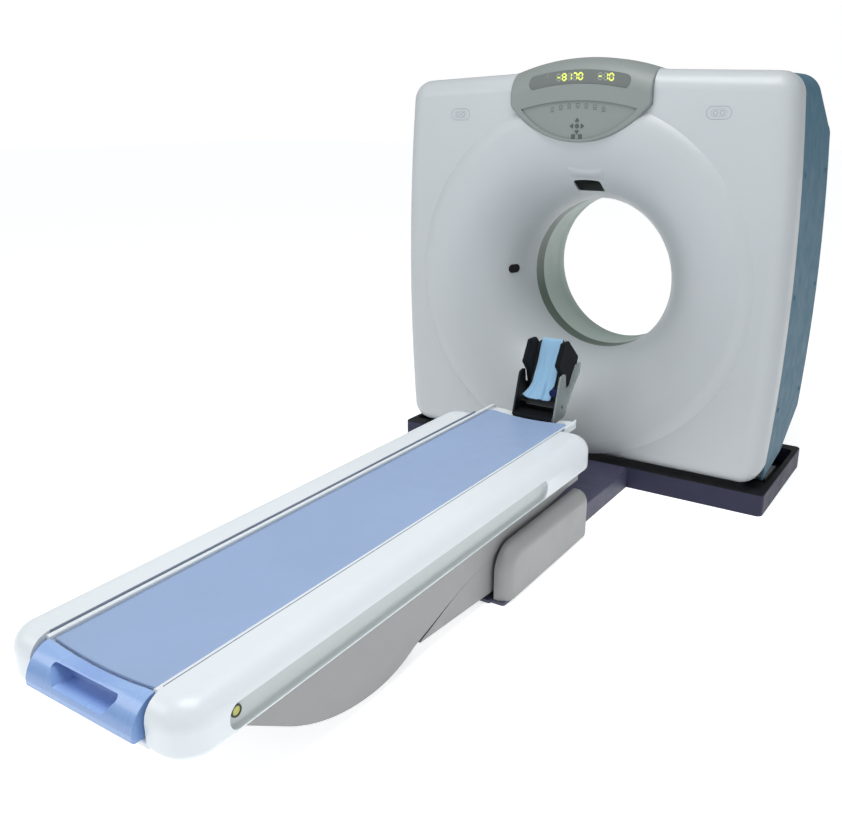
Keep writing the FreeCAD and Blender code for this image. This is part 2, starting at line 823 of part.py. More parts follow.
def make_laser_windows():
    """Two black windows on the trumpet: one let into the wall overhead, an oval one at the left."""
    near, far = laser_opening()
    body = new_body("laser_window_top", z=isocentre)
    front, back, half = near[0] + laser_gap, far[0] - laser_gap, laser_half - laser_gap
    foot, head = far[1], near[1] + laser_lift + laser_thick + 2
    plan = box_loop(-half, half, front, back, laser_corner - laser_gap)
    pad(body, draw(body, "XY", plan, level=foot), head - foot)
    fall = (near[1] - far[1]) / (back - front)

    def slope(lift, edge):
        return [(front - 1, near[1] + fall + lift), (back + 1, far[1] - fall + lift), edge]

    over = Loop(*slope(laser_lift + laser_thick, (back + 1, head + 9)), (front - 1, head + 9))
    cut(body, draw(body, "YZ", over), laser_half * 2, both=True)
    under = Loop(*slope(laser_lift, (back + 1, foot - 9)), (front - 1, foot - 9))
    cut(body, draw(body, "YZ", under), laser_half * 2, both=True)
    depth, radius = horn_spot(laser_angle_side)
    lean = laser_angle_side.value
    normal = Vector(math.cos(math.radians(lean)), -math.sin(math.radians(lean)), 0)
    turn = Rotation(Vector(0, 0, 1), Vector(), normal, "ZXY")
    body = new_body("laser_window_left", x=-radius, y=depth, z=isocentre + laser_spot_rise, turn=turn)
    oval = box_loop(
        -laser_spot_half, laser_spot_half, -laser_spot_reach, laser_spot_reach, laser_spot_half - 0.2
    )
    pad(body, draw(body, "XY", oval, level=laser_lift + 0.9), laser_thick)


# ---------------------------------------------------------------- control panel


def hump_height(across):
    """Height of the hump's top line above the axis at a distance from the middle."""
    reach = bow_radius(hump_half * 2, hump_top - hump_foot)
    return hump_top - isocentre - reach + root(reach * reach - across * across)


def display_loop(inset=0):
    """The arched display slot."""
    half = slot_half - slot_height / 2
    rise = bow_radius(half * 2, slot_rise)
    low, high = slot_level - slot_height / 2 + inset, slot_level + slot_height / 2 - inset
    low, high = low - isocentre, high - isocentre
    end = (high - low) * 0.52
    right, left = [(half, low), (ARC, end), (half, high)], [(-half, high), (ARC, end), (-half, low)]
    return Loop(*right, (ARC, rise), *left, (ARC, -rise))


def key_loops(grow=0):
    """Outlines of the keys by name: four arrow keys round a middle one, and two keys below."""
    reach, waist = key_size + grow * 2, key_size * 0.55 + grow
    level = key_level - isocentre
    arrows = {"up": (0, 1), "down": (0, -1), "left": (-1, 0), "right": (1, 0)}
    loops = {}
    for name, (across, up) in arrows.items():
        centre_x, centre_z = key_pitch * across, level + key_pitch * up
        along, beside = (across, up), (-up, across)
        corners = []
        for forward, sideways in ((-waist, -reach), (reach, 0), (-waist, reach)):
            corners.append(
                (
                    centre_x + forward * along[0] + sideways * beside[0],
                    centre_z + forward * along[1] + sideways * beside[1],
                    1.5 + dim(grow),
                )
            )
        loops[name] = Loop(*corners)
    loops["centre"] = Circle(0, level, key_size * 0.85 + grow)
    for name, side in (("low_left", -1), ("low_right", 1)):
        half = key_size * 0.8 + grow
        x, z = key_spread * side, level - key_drop
        loops[name] = box_loop(x - half, x + half, z - half, z + half, 2)
    return loops


def make_panel():
    """Panel housing that fills the hump, its smoked display and its push keys."""
    body = new_body("panel_housing", z=isocentre)
    side, low, half = panel_side_low - isocentre, panel_low - isocentre, panel_half
    bow, crown = bow_radius(half * 2, side - low), bow_radius(hump_half * 2, hump_top - hump_foot)
    rise = hump_height(half)
    outline = Loop((half, rise), (ARC, crown), (-half, rise), (-half, side), (ARC, bow), (half, side))
    pad(body, draw(body, "XZ", outline, level=-panel_proud), front_depth + panel_proud)
    round_edges(body, 30, lambda e: e.only("y") and abs(e.middle("z") - side.value) < 1)
    top = rise.value - 1
    round_edges(body, edge_round + panel_proud, lambda e: e.flat("y", -panel_proud) and e.low["z"] > top)
    shell(body, panel_wall, lambda f: f.flat("y", front_depth))
    round_edges(body, panel_round, lambda e: e.flat("y", -panel_proud) and e.low["z"] < top - 20)
    cut(body, draw(body, "XZ", display_loop(), level=-panel_proud - 5), slot_depth + 5)
    span = lens_half * 2
    lens = Loop(
        (lens_half, lens_side - isocentre),
        (ARC, bow_radius(span, lens_top - lens_side)),
        (-lens_half, lens_side - isocentre),
        (ARC, bow_radius(span, lens_side - lens_low)),
    )
    cut(body, draw(body, "XZ", lens, level=-panel_proud - 5), lens_depth + 5)
    cut(body, draw(body, "XZ", *key_loops(key_gap).values(), level=-panel_proud - 5), panel_wall + 10)
    window = new_body("display_window", z=isocentre)
    pad(window, draw(window, "XZ", display_loop(soft_gap), level=slot_depth - panel_proud - 4), 4)
    floor = lens_depth - panel_proud
    for name, loop in key_loops().items():
        key = new_body(f"key_{name}", z=isocentre)
        pad(key, draw(key, "XZ", loop, level=floor - key_proud), key_length)
        round_edges(key, 1, lambda e: e.flat("y", floor - key_proud))


# ---------------------------------------------------------------- gantry base and stands


def make_base():
    """Tray under the gantry: a rim round a well that the tilting covers dip into."""
    body = new_body("base_tray")
    outer = Loop(
        (-base_half, 0, 24),
        (base_half, 0, 24),
        (base_back_half, base_depth, 24),
        (-base_back_half, base_depth, 24),
    )
    pad(body, draw(body, "XY", outer), base_height)
    front, back = base_half - base_side, base_back_half - base_side
    rear = base_depth - base_back_beam
    well = Loop((-front, base_front_beam, 30), (front, base_front_beam, 30), (back, rear, 30), (-back, rear, 30))
    cut(body, draw(body, "XY", well, level=base_floor), base_height, 1)
    reach = base_back_half.value - 2

    def outside(edge):
        ends = abs(edge.low["x"]) > reach or abs(edge.high["x"]) > reach
        return edge.flat("z", base_height) and (ends or edge.flat("y", 0) or edge.flat("y", base_depth))

    round_edges(body, 6, outside)
    holes = []
    middle = tilt_depth
    for across in (-1, 1):
        for along in (-1, 1):
            holes.append(Circle(anchor_half_x * across, middle + anchor_half_y * along, anchor_radius))
    cut(body, draw(body, "XY", *holes, level=-5), base_height, 1)


def make_stand(label, side):
    """Floor stand with a straight front, a raked back and a round head bored for the trunnion."""
    body = new_body(label, x=stand_inner * side)
    floor, axis = base_floor, dim(isocentre)
    front = tilt_depth - stand_front
    back_top_y, back_low_y = tilt_depth + stand_back_top, tilt_depth + stand_back_low
    raked = [(back_low_y, floor), (back_low_y, floor + 60), (back_top_y, axis - 60), (back_top_y, axis)]
    post = Loop((front, floor), *raked, (front, axis))
    pad(body, draw(body, "YZ", post), stand_thick, side)
    pad(body, draw(body, "YZ", Circle(tilt_depth, axis, boss_radius)), stand_thick, side)
    window_low, window_high = floor + 110, axis - 150
    window = Loop(
        (front + 34, window_low, 12),
        (back_low_y - 34, window_low, 12),
        (back_top_y - 34, window_high, 12),
        (front + 34, window_high, 12),
    )
    cut(body, draw(body, "YZ", window, level=-10 * side), stand_thick + 20, side)
    foot = box_loop(front, back_low_y + 70, floor, floor + stand_foot, 3)
    pad(body, draw(body, "YZ", foot), stand_thick + 40, side)
    bore = Circle(tilt_depth, axis, trunnion_radius + running_gap)
    cut(body, draw(body, "YZ", bore, level=-10 * side), stand_thick + 20, side)


def make_tilt_drive():
    """Worm gearbox on the right stand's outer face, with its motor hanging below."""
    body = new_body("tilt_gearmotor", x=stand_inner + stand_thick + soft_gap, y=tilt_depth, z=isocentre)
    case = Loop((-62, -90, 18), (62, -90, 18), (62, 70, 50), (-62, 70, 50))
    pad(body, draw(body, "YZ", case), 40)
    round_edges(body, 8, lambda e: e.flat("x", 40))
    pad(body, draw(body, "XY", Circle(24, 0, 22), level=-250), 165)


# ---------------------------------------------------------------- tilting frame and rotor


def make_tilt_frame():
    """Ring plate behind the rotor with two arms forward to the trunnions."""
    body = new_body("tilt_frame", y=tilt_depth, z=isocentre)
    plate = frame_plate_front - tilt_depth
    corner = frame_tall * 0.45
    outline = Loop(
        (-frame_half, -frame_tall + corner),
        (-frame_half + corner, -frame_tall),
        (frame_half - corner, -frame_tall),
        (frame_half, -frame_tall + corner),
        (frame_half, frame_tall - corner),
        (frame_half - corner, frame_tall),
        (-frame_half + corner, frame_tall),
        (-frame_half, frame_tall - corner),
    )
    pad(body, draw(body, "XZ", outline, Circle(0, 0, frame_bore), level=plate), frame_plate_thick)
    cut(body, draw(body, "XZ", Circle(0, 0, frame_recess), level=plate - 5), 9, 1)
    arm = Loop((-62, -62, 40), (plate, -150), (plate, 150), (-62, 62, 40))
    level = frame_half - arm_thick
    right = pad(body, draw(body, "YZ", arm, level=level), arm_thick)
    length = stand_inner + stand_thick - level - 1
    pin = pad(body, draw(body, "YZ", Circle(0, 0, trunnion_radius), level=level), length)
    mirror(body, "YZ", right, pin)


def make_bearing():
    """Big ball bearing as its two rings, with a running gap between them."""
    start = frame_plate_front - bearing_width
    outer = new_body("bearing_outer", y=start, z=isocentre)
    race = Circle(0, 0, bearing_gap_radius + running_gap)
    pad(outer, draw(outer, "XZ", Circle(0, 0, bearing_outer_radius), race), bearing_width)
    inner = new_body("bearing_inner", y=start, z=isocentre)
    pad(inner, draw(inner, "XZ", Circle(0, 0, bearing_gap_radius), Circle(0, 0, drum_bore)), bearing_width)
    for body, radius in ((outer, bearing_outer_radius), (inner, drum_bore)):
        for level in (0, bearing_width):
            round_edges(body, 2, lambda e: e.flat("y", level) and abs(e.high["x"] - radius.value) < 1)


def make_rotor():
    """Rotating disc with the tube, its collimator, the detector arc, the generator and the slip ring."""
    drum = new_body("rotor_drum", y=drum_front, z=isocentre)
    pad(drum, draw(drum, "XZ", Circle(0, 0, drum_radius), Circle(0, 0, drum_bore)), drum_thick)
    hub = frame_plate_front - bearing_width - drum_front
    pad(drum, draw(drum, "XZ", Circle(0, 0, drum_bore + 22), Circle(0, 0, drum_bore)), hub)
    window = Circle(0, (drum_radius + drum_bore) / 2 + 20, 34)
    hole = cut(drum, draw(drum, "XZ", window, level=-5), drum_thick + 10)
    ring = drum.newObject("PartDesign::PolarPattern", "PolarPattern")
    ring.Originals = [hole]
    ring.Axis = ([o for o in drum.Origin.OriginFeatures if o.Role == "Y_Axis"][0], [""])
    ring.Angle = 360
    ring.Occurrences = 12
    drum.Tip = ring

    tube = new_body("xray_tube", y=drum_front, z=isocentre + tube_reach)
    pad(tube, draw(tube, "XZ", Circle(0, 0, tube_radius), level=-tube_length), tube_length)
    pad(tube, draw(tube, "XZ", Circle(0, 0, tube_radius - 22), level=-tube_length - 26), 26)
    round_edges(tube, 14, lambda e: e.flat("y", -tube_length) and e.high["x"] > tube_radius.value - 2)
    pad(tube, draw(tube, "XY", box_loop(-34, 34, -144, -76, 6), level=-tube_radius - 14), 40)

    collimator = new_body("collimator", y=drum_front, z=isocentre)
    top = tube_reach - tube_radius - 14.3
    wedge = Loop((-92, top - 60), (92, top - 60), (70, top), (-70, top))
    pad(collimator, draw(collimator, "XZ", wedge, level=-150), 150)

    detector = new_body("detector_arc", y=drum_front, z=isocentre)
    reach, half = sine(detector_fan), cosine(detector_fan)
    arc = Loop(
        (-detector_inner * reach, -detector_inner * half),
        (ARC, detector_inner),
        (detector_inner * reach, -detector_inner * half),
        (detector_outer * reach, -detector_outer * half),
        (ARC, -detector_outer),
        (-detector_outer * reach, -detector_outer * half),
    )
    pad(detector, draw(detector, "XZ", arc, level=-170), 170)

    generator = new_body("generator_box", y=drum_front, z=isocentre)
    block = Loop((-600, -130, 20), (-430, -170, 20), (-430, 170, 20), (-600, 130, 20))
    pad(generator, draw(generator, "XZ", block, level=-180), 180)

    slip = new_body("slip_ring", y=drum_front + drum_thick, z=isocentre)
    pad(slip, draw(slip, "XZ", Circle(0, 0, drum_radius - 12), Circle(0, 0, drum_radius - 70)), 16)
    grooves = []
    for n in range(4):
        start = drum_radius - 66 + 14 * n
        grooves.append(Loop((12, start), (20, start), (20, start + 6), (12, start + 6)))
    turn_cut(slip, draw(slip, "YZ", *grooves))

    motor = new_body("rotor_motor", x=-560, y=frame_plate_front, z=isocentre - 430)
    pad(motor, draw(motor, "XZ", Circle(0, 0, 44), level=-50), 50)
    round_edges(motor, 6, lambda e: e.flat("y", -50))


# ---------------------------------------------------------------- table base and swing arm


def make_table_base():
    """Floor plate with the arm's two bearing cheeks and the fork of the tie link."""
    body = new_body("table_base")
    plate = spine_half - 5.3
    near = pivot_cover_near + 15
    pad(body, draw(body, "XY", box_loop(-plate, plate, -near, -soft_gap, 8)), plate_thick)
    wings = pivot_cover_outer - 12
    pad(body, draw(body, "XY", box_loop(-wings, wings, -near + 10, -695, 12)), plate_thick)
    cheek = Loop(
        (-pivot_back - 92, 6),
        (-pivot_back + 92, 6),
        (-pivot_back + 46, pivot_height + 52, 44),
        (-pivot_back - 46, pivot_height + 52, 44),
    )
    side = pad(body, draw(body, "YZ", cheek, level=ear_inner), ear_thick)
    bore = Circle(-pivot_back, pivot_height, arm_shaft_radius + running_gap)
    hole = cut(body, draw(body, "YZ", bore, level=ear_inner - 5), ear_thick + 10, 1)
    fork_foot = pivot_height - link_drop
    fork = Loop(
        (-pivot_back - 44, 6),
        (-pivot_back + 44, 6),
        (-pivot_back + 22, fork_foot + 21, 16),
        (-pivot_back - 22, fork_foot + 21, 16),
    )
    prong = pad(body, draw(body, "YZ", fork, level=link_half + 1), 12)
    mirror(body, "YZ", side, hole, prong)
    pad(body, draw(body, "YZ", Circle(-pivot_back, fork_foot, pin_radius)), link_half * 2 + 20, both=True)
    anchors = [Circle(220 * across, -depth, anchor_radius) for across in (-1, 1) for depth in (120, 1120)]
    cut(body, draw(body, "XY", *anchors, level=-5), plate_thick + 10, 1)


def make_spine_duct():
    """Low inverted channel that carries the cables from the table to the gantry."""
    body = new_body("spine_duct")
    top = dim(base_height)
    section = Loop(
        (-spine_half, 0),
        (-spine_half + duct_wall, 0),
        (-spine_half + duct_wall, top - duct_wall, 13),
        (spine_half - duct_wall, top - duct_wall, 13),
        (spine_half - duct_wall, 0),
        (spine_half, 0),
        (spine_half, top, 18),
        (-spine_half, top, 18),
    )
    pad(body, draw(body, "XZ", section, level=-spine_reach), spine_reach - soft_gap)


def make_pivot_cover(label, side):
    """Box cover over one end of the arm's pivot: soft outer shoulder, sharp foot, hollow in steps."""
    body = new_body(label, x=pivot_cover_inner * side)
    low, width = plate_thick + soft_gap, pivot_cover_outer - pivot_cover_inner

    def outline(inset, rounding):
        near, far = -pivot_cover_near + inset, -pivot_cover_far - inset
        top = pivot_cover_top - inset
        return Loop(
            (near, low + inset),
            (far - 44, low + inset),
            (far, low + inset + 52),
            (far, top, rounding),
            (near, top, rounding + 44),
        )

    pad(body, draw(body, "YZ", outline(dim(0), pivot_round + 8)), width, side)
    face = width.value * side

    def shoulder_edge(edge):
        middle = edge.high["z"] - edge.low["z"] > 90 and edge.low["z"] < 120
        return edge.flat("x", face) and (middle or edge.flat("z", pivot_cover_top))

    round_edges(body, pivot_round, shoulder_edge)
    for share, inset in ((0.22, 0), (0.6, 10), (0.93, 34)):
        depth = width * share
        hollow = draw(body, "YZ", outline(inset + duct_wall, pivot_round - inset))
        cut(body, hollow, depth, side)


def make_lift_drive():
    """Gearbox round the arm's shaft with its motor lying forward under the duct."""
    body = new_body("lift_gearmotor")
    low, half, left, right = plate_thick + soft_gap, 62, 60, 200
    case = Loop(
        (-pivot_back - half, low, 8),
        (-pivot_back + half, low, 8),
        (-pivot_back + half, pivot_height + half, 40),
        (-pivot_back - half, pivot_height + half, 40),
    )
    pad(body, draw(body, "YZ", case, level=left), right - left)
    round_edges(body, 5, lambda e: e.flat("x", right))
    pad(body, draw(body, "XZ", Circle((left + right) / 2, 50, 34), level=-pivot_back + half - 5), 240)
    bore = Circle(-pivot_back, pivot_height, arm_shaft_radius + running_gap)
    cut(body, draw(body, "YZ", bore, level=left - 5), right - left + 10, 1)


def make_shafts():
    """Arm shaft at the foot of the swing arm and level shaft at its top, both across the machine."""
    for label, across, up, radius in (
        ("arm_shaft", -pivot_back, pivot_height, arm_shaft_radius),
        ("level_shaft", -pivot_back - arm_reach, pivot_height + arm_rise, level_shaft_radius),
    ):
        body = new_body(label, y=across, z=up)
        length = (ear_inner + ear_thick) * 2 + 12
        pad(body, draw(body, "YZ", Circle(0, 0, radius)), length, both=True)
        round_edges(body, 2, lambda e: abs(e.middle("x")) > 100 and e.high["z"] - e.low["z"] > 1)


def make_lift_arm():
    """Welded swing arm: two cheek plates with bosses, joined by cross tubes."""
    body = new_body("lift_arm", y=-pivot_back, z=pivot_height)
    outline = Loop((0, -50), (0, 50), (-arm_reach, arm_rise + 36), (-arm_reach, arm_rise - 36))
    plate = pad(body, draw(body, "YZ", outline, level=arm_plate_inner), arm_plate_thick)
    ends = draw(body, "YZ", Circle(0, 0, 60), Circle(-arm_reach, arm_rise, 42), level=arm_plate_inner)
    bosses = pad(body, ends, arm_plate_thick)
    bores = [
        Circle(0, 0, arm_shaft_radius + running_gap),
        Circle(-arm_reach, arm_rise, level_shaft_radius + running_gap),
    ]
    for share in (0.36, 0.64):
        bores.append(Circle(-arm_reach * share, arm_rise * share, 26))
    holes = cut(body, draw(body, "YZ", *bores, level=arm_plate_inner - 5), arm_plate_thick + 10, 1)
    mirror(body, "YZ", plate, bosses, holes)
    for share, reach in ((0.25, boat_half - 8.3), (0.5, boat_half - 8.3), (0.76, boat_half - 8.3)):
        tube = draw(body, "YZ", Circle(-arm_reach * share, arm_rise * share, 22))
        pad(body, tube, reach * 2, both=True)


def make_arm_cover():
    """Trough under the swing arm that closes the boat's underside up to the seam."""
    body = new_body("arm_cover")
    outline = Loop(
        (-1648, 65), (-1141, 29), (-795, 27), (-795, 191),
        (-852, 190), (-1195, 174), (-1419, 138), (-1648, 68),
    )
    half = boat_half - 3
    pad(body, draw(body, "YZ", outline), half * 2, both=True)
    inner = Loop((-1660, 71), (-1141, 34), (-780, 32), (-780, 260), (-1660, 260))
    cut(body, draw(body, "YZ", inner), half * 2 - 10, both=True)
    gap = Loop((-895, 10), (-780, 10), (-780, 60), (-895, 60))
    cut(body, draw(body, "YZ", gap), half * 2 - 10, both=True)


def make_tie_link():
    """Straight link under the arm that keeps the table level."""
    body = new_body("tie_link", y=-pivot_back, z=pivot_height - link_drop)
    bar = Loop((0, -15), (0, 15), (-arm_reach, arm_rise + 15), (-arm_reach, arm_rise - 15))
    pad(body, draw(body, "YZ", bar), link_half * 2, both=True)
    ends = draw(body, "YZ", Circle(0, 0, 20), Circle(-arm_reach, arm_rise, 20))
    pad(body, ends, link_half * 2, both=True)
    lower, upper = Circle(0, 0, pin_radius + running_gap), Circle(-arm_reach, arm_rise, pin_radius + 0.5)
    cut(body, draw(body, "YZ", lower, upper), link_half * 2 + 10, both=True)


# ---------------------------------------------------------------- table body and rails


def make_table_frame():
    """Channel that guides the cradle, on cross beams with the ears of the level shaft."""
    body = new_body("table_frame")
    near, far = table_near - 45.3, dim(table_far) + 8
    half, low = rail_inner - 6, rail_low + 1
    high = cradle_flange - slide_gap
    section = Loop(
        (-half, low),
        (half, low),
        (half, high),
        (half - guide_wall, high),
        (half - guide_wall, low + frame_floor),
        (-half + guide_wall, low + frame_floor),
        (-half + guide_wall, high),
        (-half, high),
    )
    pad(body, draw(body, "XZ", section, level=-near), near - far)
    beam_half, beam_top = boat_half - boat_wall - soft_gap, rail_low - soft_gap
    level_y = pivot_back + arm_reach
    for start, width in ((2350, 60), (level_y + 80, 160), (1330, 60), (760, 60)):
        beam = Loop(
            (-beam_half, beam_top - 20), (beam_half, beam_top - 20), (beam_half, beam_top),
            (half - 4, beam_top), (half - 4, low + 3), (-half + 4, low + 3),
            (-half + 4, beam_top), (-beam_half, beam_top),
        )
        pad(body, draw(body, "XZ", beam, level=-start), width)
    level_z = pivot_height + arm_rise
    ear = Loop(
        (-level_y - 78, beam_top - 10),
        (-level_y - 40, level_z - 40, 34),
        (-level_y + 40, level_z - 40, 34),
        (-level_y + 78, beam_top - 10),
    )
    side = pad(body, draw(body, "YZ", ear, level=ear_inner), ear_thick)
    fork_z = level_z - link_drop
    fork = Loop(
        (-level_y - 50, beam_top - 10),
        (-level_y - 21, fork_z - 20, 16),
        (-level_y + 21, fork_z - 20, 16),
        (-level_y + 50, beam_top - 10),
    )
    prong = pad(body, draw(body, "YZ", fork, level=link_half + 1), 12)
    mirror(body, "YZ", side, prong)
    bore = Circle(-level_y, level_z, level_shaft_radius + running_gap)
    cut(body, draw(body, "YZ", bore), ear_inner * 2 + ear_thick * 2 + 20, both=True)
    pad(body, draw(body, "YZ", Circle(-level_y, fork_z, pin_radius)), link_half * 2 + 20, both=True)


def make_rail(label, side):
    """Long side rail moulding: soft shoulders and ends, an accessory groove, hollow from below."""
    body = new_body(label)
    near, far = -table_near, -table_far
    plan = Loop(
        (rail_inner * side, near),
        (rail_half * side, near, rail_corner),
        (rail_half * side, far, rail_corner),
        (rail_inner * side, far),
    )
    pad(body, draw(body, "XY", plan, level=rail_low), rail_top - rail_low)
    inner = rail_inner.value * side

    def outside(edge, height):
        return edge.flat("z", height) and abs(edge.middle("x") - inner) > 1

    round_edges(body, rail_shoulder, lambda e: outside(e, rail_top))
    round_edges(body, rail_hem, lambda e: outside(e, rail_low))
    groove = box_loop(-groove_near, -groove_far, groove_low, groove_high, 33)
    cut(body, draw(body, "YZ", groove, level=(rail_half - groove_depth) * side), groove_depth + 5, side)
    floor = (rail_half - groove_depth).value * side
    round_edges(body, groove_cove, lambda e: e.flat("x", floor) and e.high["z"] < groove_low.value + 34)
    shell(body, rail_wall, lambda f: f.flat("z", rail_low))


def make_boat_cover():
    """Long hull under the table: straight slope at the foot, round belly, open over the swing arm."""
    body = new_body("boat_cover")
    top = rail_low - 3

    def hull(inset):
        shift = inset * 1.2
        return [
            (-2430 + shift, top),
            (-2261, 152 + shift),
            (ARC, 700),
            (-1870, 32 + inset),
            (ARC, 430),
            (-1686, 72 + inset),
            (-1419, 143 + inset),
            (-1195, 178 + inset),
            (-852, 194 + inset),
            (-630, 216 + inset),
            (-522, 218 + inset),
        ]

    outer = hull(dim(0)) + [(-522, top)]
    pad(body, draw(body, "YZ", Loop(*outer)), boat_half * 2, both=True)
    inner = hull(dim(boat_wall))
    inner[0] = (-2424 + boat_wall * 1.3, top + 5)
    cut(body, draw(body, "YZ", Loop(*inner, (-522, top + 5))), boat_half * 2 - boat_wall * 2, both=True)
    seam_side = [(-1686, 60), (-1419, 130), (-1195, 168), (-852, 184), (-630, 206), (-500, 206)]
    roof = [(-500, 232), (-630, 230), (-852, 208), (-1195, 192), (-1419, 157), (-1686, 90)]
    cut(body, draw(body, "YZ", Loop(*seam_side, *roof)), boat_half * 2 - boat_wall * 2, both=True)
    slot = box_loop(-ear_inner - 4, ear_inner + 4, -1790, -1600, 10)
    cut(body, draw(body, "XY", slot), 110, 1)


def make_cradle_motor():
    """Drive box for the cradle under the middle of the table frame."""
    body = new_body("cradle_motor")
    top = rail_low + 1 - soft_gap
    pad(body, draw(body, "XY", box_loop(-70, 70, -1190, -1050, 12), level=top - 62), 62)
    round_edges(body, 6, lambda e: e.flat("z", top - 62))
    pad(body, draw(body, "YZ", Circle(-1120, top - 32, 24), level=70), 60)


def make_foot_lip():
    """White lip across the foot end between the rails, with a rounded nose."""
    body = new_body("foot_lip")
    half = rail_inner - 0.5
    low, high = dim(rail_low), handle_low - 2
    near, far = -table_near, -table_near + 45
    outline = Loop((near, low, 10), (far, low), (far, high), (near, high, 8))
    pad(body, draw(body, "YZ", outline), half * 2, both=True)


def make_marker_disc():
    """Small round cap near the foot end of the right rail's groove."""
    floor = rail_half - groove_depth + soft_gap
    body = new_body("marker_disc", x=floor, y=-groove_near + 30, z=groove_low + 44)
    pad(body, draw(body, "YZ", Circle(0, 0, 13)), 5)
    round_edges(body, 1.5, lambda e: e.flat("x", 5))


# ---------------------------------------------------------------- cradle and pad


def sag_at(across, sag_gap=0):
    """Height of the pad's dished top line at a distance from the middle."""
    reach = bow_radius(pad_half * 2, pad_sag)
    return pad_edge - pad_sag + reach - root(reach * reach - across * across) - sag_gap


def make_cradle():
    """Curved shell of the patient cradle with upright lips and a rounded tip."""
    body = new_body("cradle_shell")
    reach = bow_radius(pad_half * 2, pad_sag)
    inner = cradle_half - cradle_lip
    seat_z = sag_at(inner, pad_thick + soft_gap)
    half, flange, belly_half = dim(cradle_half), dim(cradle_flange), cradle_half - 23
    section = Loop(
        (half, flange),
        (half, lip_height, 4),
        (inner, lip_height, 4),
        (inner, seat_z),
        (ARC, -reach),
        (-inner, seat_z),
        (-inner, lip_height, 4),
        (-half, lip_height, 4),
        (-half, flange),
        (-belly_half, flange),
        (ARC, bow_radius(belly_half * 2, flange - cradle_belly)),
        (belly_half, flange),
    )
    pad(body, draw(body, "XZ", section, level=-cradle_near), cradle_near - cradle_far)
    tip = cradle_far
    corner = Loop(
        (half, -tip - cradle_tip_round),
        (ARC, cradle_tip_round),
        (half - cradle_tip_round, -tip),
        (half - cradle_tip_round, -tip + 20),
        (half + 20, -tip + 20),
        (half + 20, -tip - cradle_tip_round),
    )
    mirror(body, "YZ", cut(body, draw(body, "XY", corner, level=300), 150, 1))


def make_pad():
    """Dished foam mattress with soft edges and rounded head corners."""
    body = new_body("cradle_pad")
    reach = bow_radius(pad_half * 2, pad_sag)
    low = pad_edge - pad_thick
    section = Loop(
        (pad_half, low), (pad_half, pad_edge), (ARC, -reach),
        (-pad_half, pad_edge), (-pad_half, low), (ARC, reach),
    )
    pad(body, draw(body, "XZ", section, level=-pad_near), pad_near - pad_far)
    round_edges(body, 34, lambda e: e.only("z") and e.flat("y", -pad_far))
    round_edges(body, pad_round, lambda e: e.low["z"] > low.value + 0.5 and not e.only("z"))


def make_handle():
    """Moulded quarter-round grip across the cradle's foot end, with a hand recess."""
    body = new_body("foot_handle")
    back, front = -cradle_near - soft_gap, -handle_reach
    profile = Loop(
        (back, handle_low),
        (back, handle_top),
        (back - 16, handle_top - 3),
        (ARC, 95),
        (front, handle_low + 22),
        (front, handle_low + 6),
        (front + 8, handle_low),
    )
    pad(body, draw(body, "YZ", profile), handle_half * 2, both=True)
    dish_reach = bow_radius(pad_half * 2, pad_sag)
    dish = Loop(
        (-pad_half, handle_top + 2),
        (ARC, dish_reach),
        (pad_half, handle_top + 2),
        (pad_half, handle_top + 60),
        (-pad_half, handle_top + 60),
    )
    cut(body, draw(body, "XZ", dish, level=front - 5), 100, 1)
    grip = Loop((-92, 327, 8), (92, 327, 8), (129, 374, 8), (-129, 374, 8))
    cut(body, draw(body, "XZ", grip, level=front - 5), handle_reach - cradle_near - 8, 1)


# ---------------------------------------------------------------- head holder


def make_head_bracket():
    """Black cup on the cradle's tip: a base on the shell, two side walls and the knob's lug."""
    body = new_body("head_bracket")
    reach = bow_radius(pad_half * 2, pad_sag)
    half = bracket_half - 4
    right, left = half + head_shift, half - head_shift
    right_z, left_z = sag_at(right, pad_thick), sag_at(left, pad_thick)
    base = Loop((right, right_z), (right, 392), (-left, 392), (-left, left_z), (ARC, reach))
    pad(body, draw(body, "XZ", base, level=-362), 112)
    rear_wall = box_loop(-left, right, 386, 430, 2)
    pad(body, draw(body, "XZ", rear_wall, level=-260), 6)
    wall_outline = Loop(
        (-362, 380),
        (-250, 380),
        (-206, 454, 10),
        (-118, 540, 10),
        (-108, 586, 8),
        (-156, 580, 12),
        (-210, 500, 20),
        (-252, 500, 12),
        (-262, 567, 12),
        (-305, 560, 14),
    )
    hinge = Circle(-hinge_gap, hinge_height, 8 + running_gap)
    for side in (1, -1):
        face = head_shift + (bracket_half - bracket_wall) * side
        pad(body, draw(body, "YZ", wall_outline, level=face), bracket_wall, side)
        cut(body, draw(body, "YZ", hinge, level=face - 12 * side), 40, side)
    lug = box_loop(head_shift + 60, head_shift + bracket_half - 2, 474, 512, 8)
    pad(body, draw(body, "XZ", lug, level=-knob_seat), 6)
    bore = Circle(head_shift + knob_x, knob_z, 5 + running_gap)
    cut(body, draw(body, "XZ", bore, level=-knob_seat - 5), 20, 1)


def make_head_knob():
    """Round clamping knob with a scalloped rim, on a stub shaft through the lug."""
    body = new_body("head_knob", x=head_shift + knob_x, y=-knob_seat - soft_gap, z=knob_z)
    pad(body, draw(body, "XZ", Circle(0, 0, knob_radius)), 20, -1)
    round_edges(body, 4, lambda e: e.flat("y", -20))
    pad(body, draw(body, "XZ", Circle(0, 0, 5), level=-2), 12)
    notch = Circle(knob_radius + 2.5, 0, 4)
    hole = cut(body, draw(body, "XZ", notch, level=-25), 22, 1)
    ring = body.newObject("PartDesign::PolarPattern", "PolarPattern")
    ring.Originals = [hole]
    ring.Axis = ([item for item in body.Origin.OriginFeatures if item.Role == "Y_Axis"][0], [""])
    ring.Angle = 360
    ring.Occurrences = 8
    body.Tip = ring


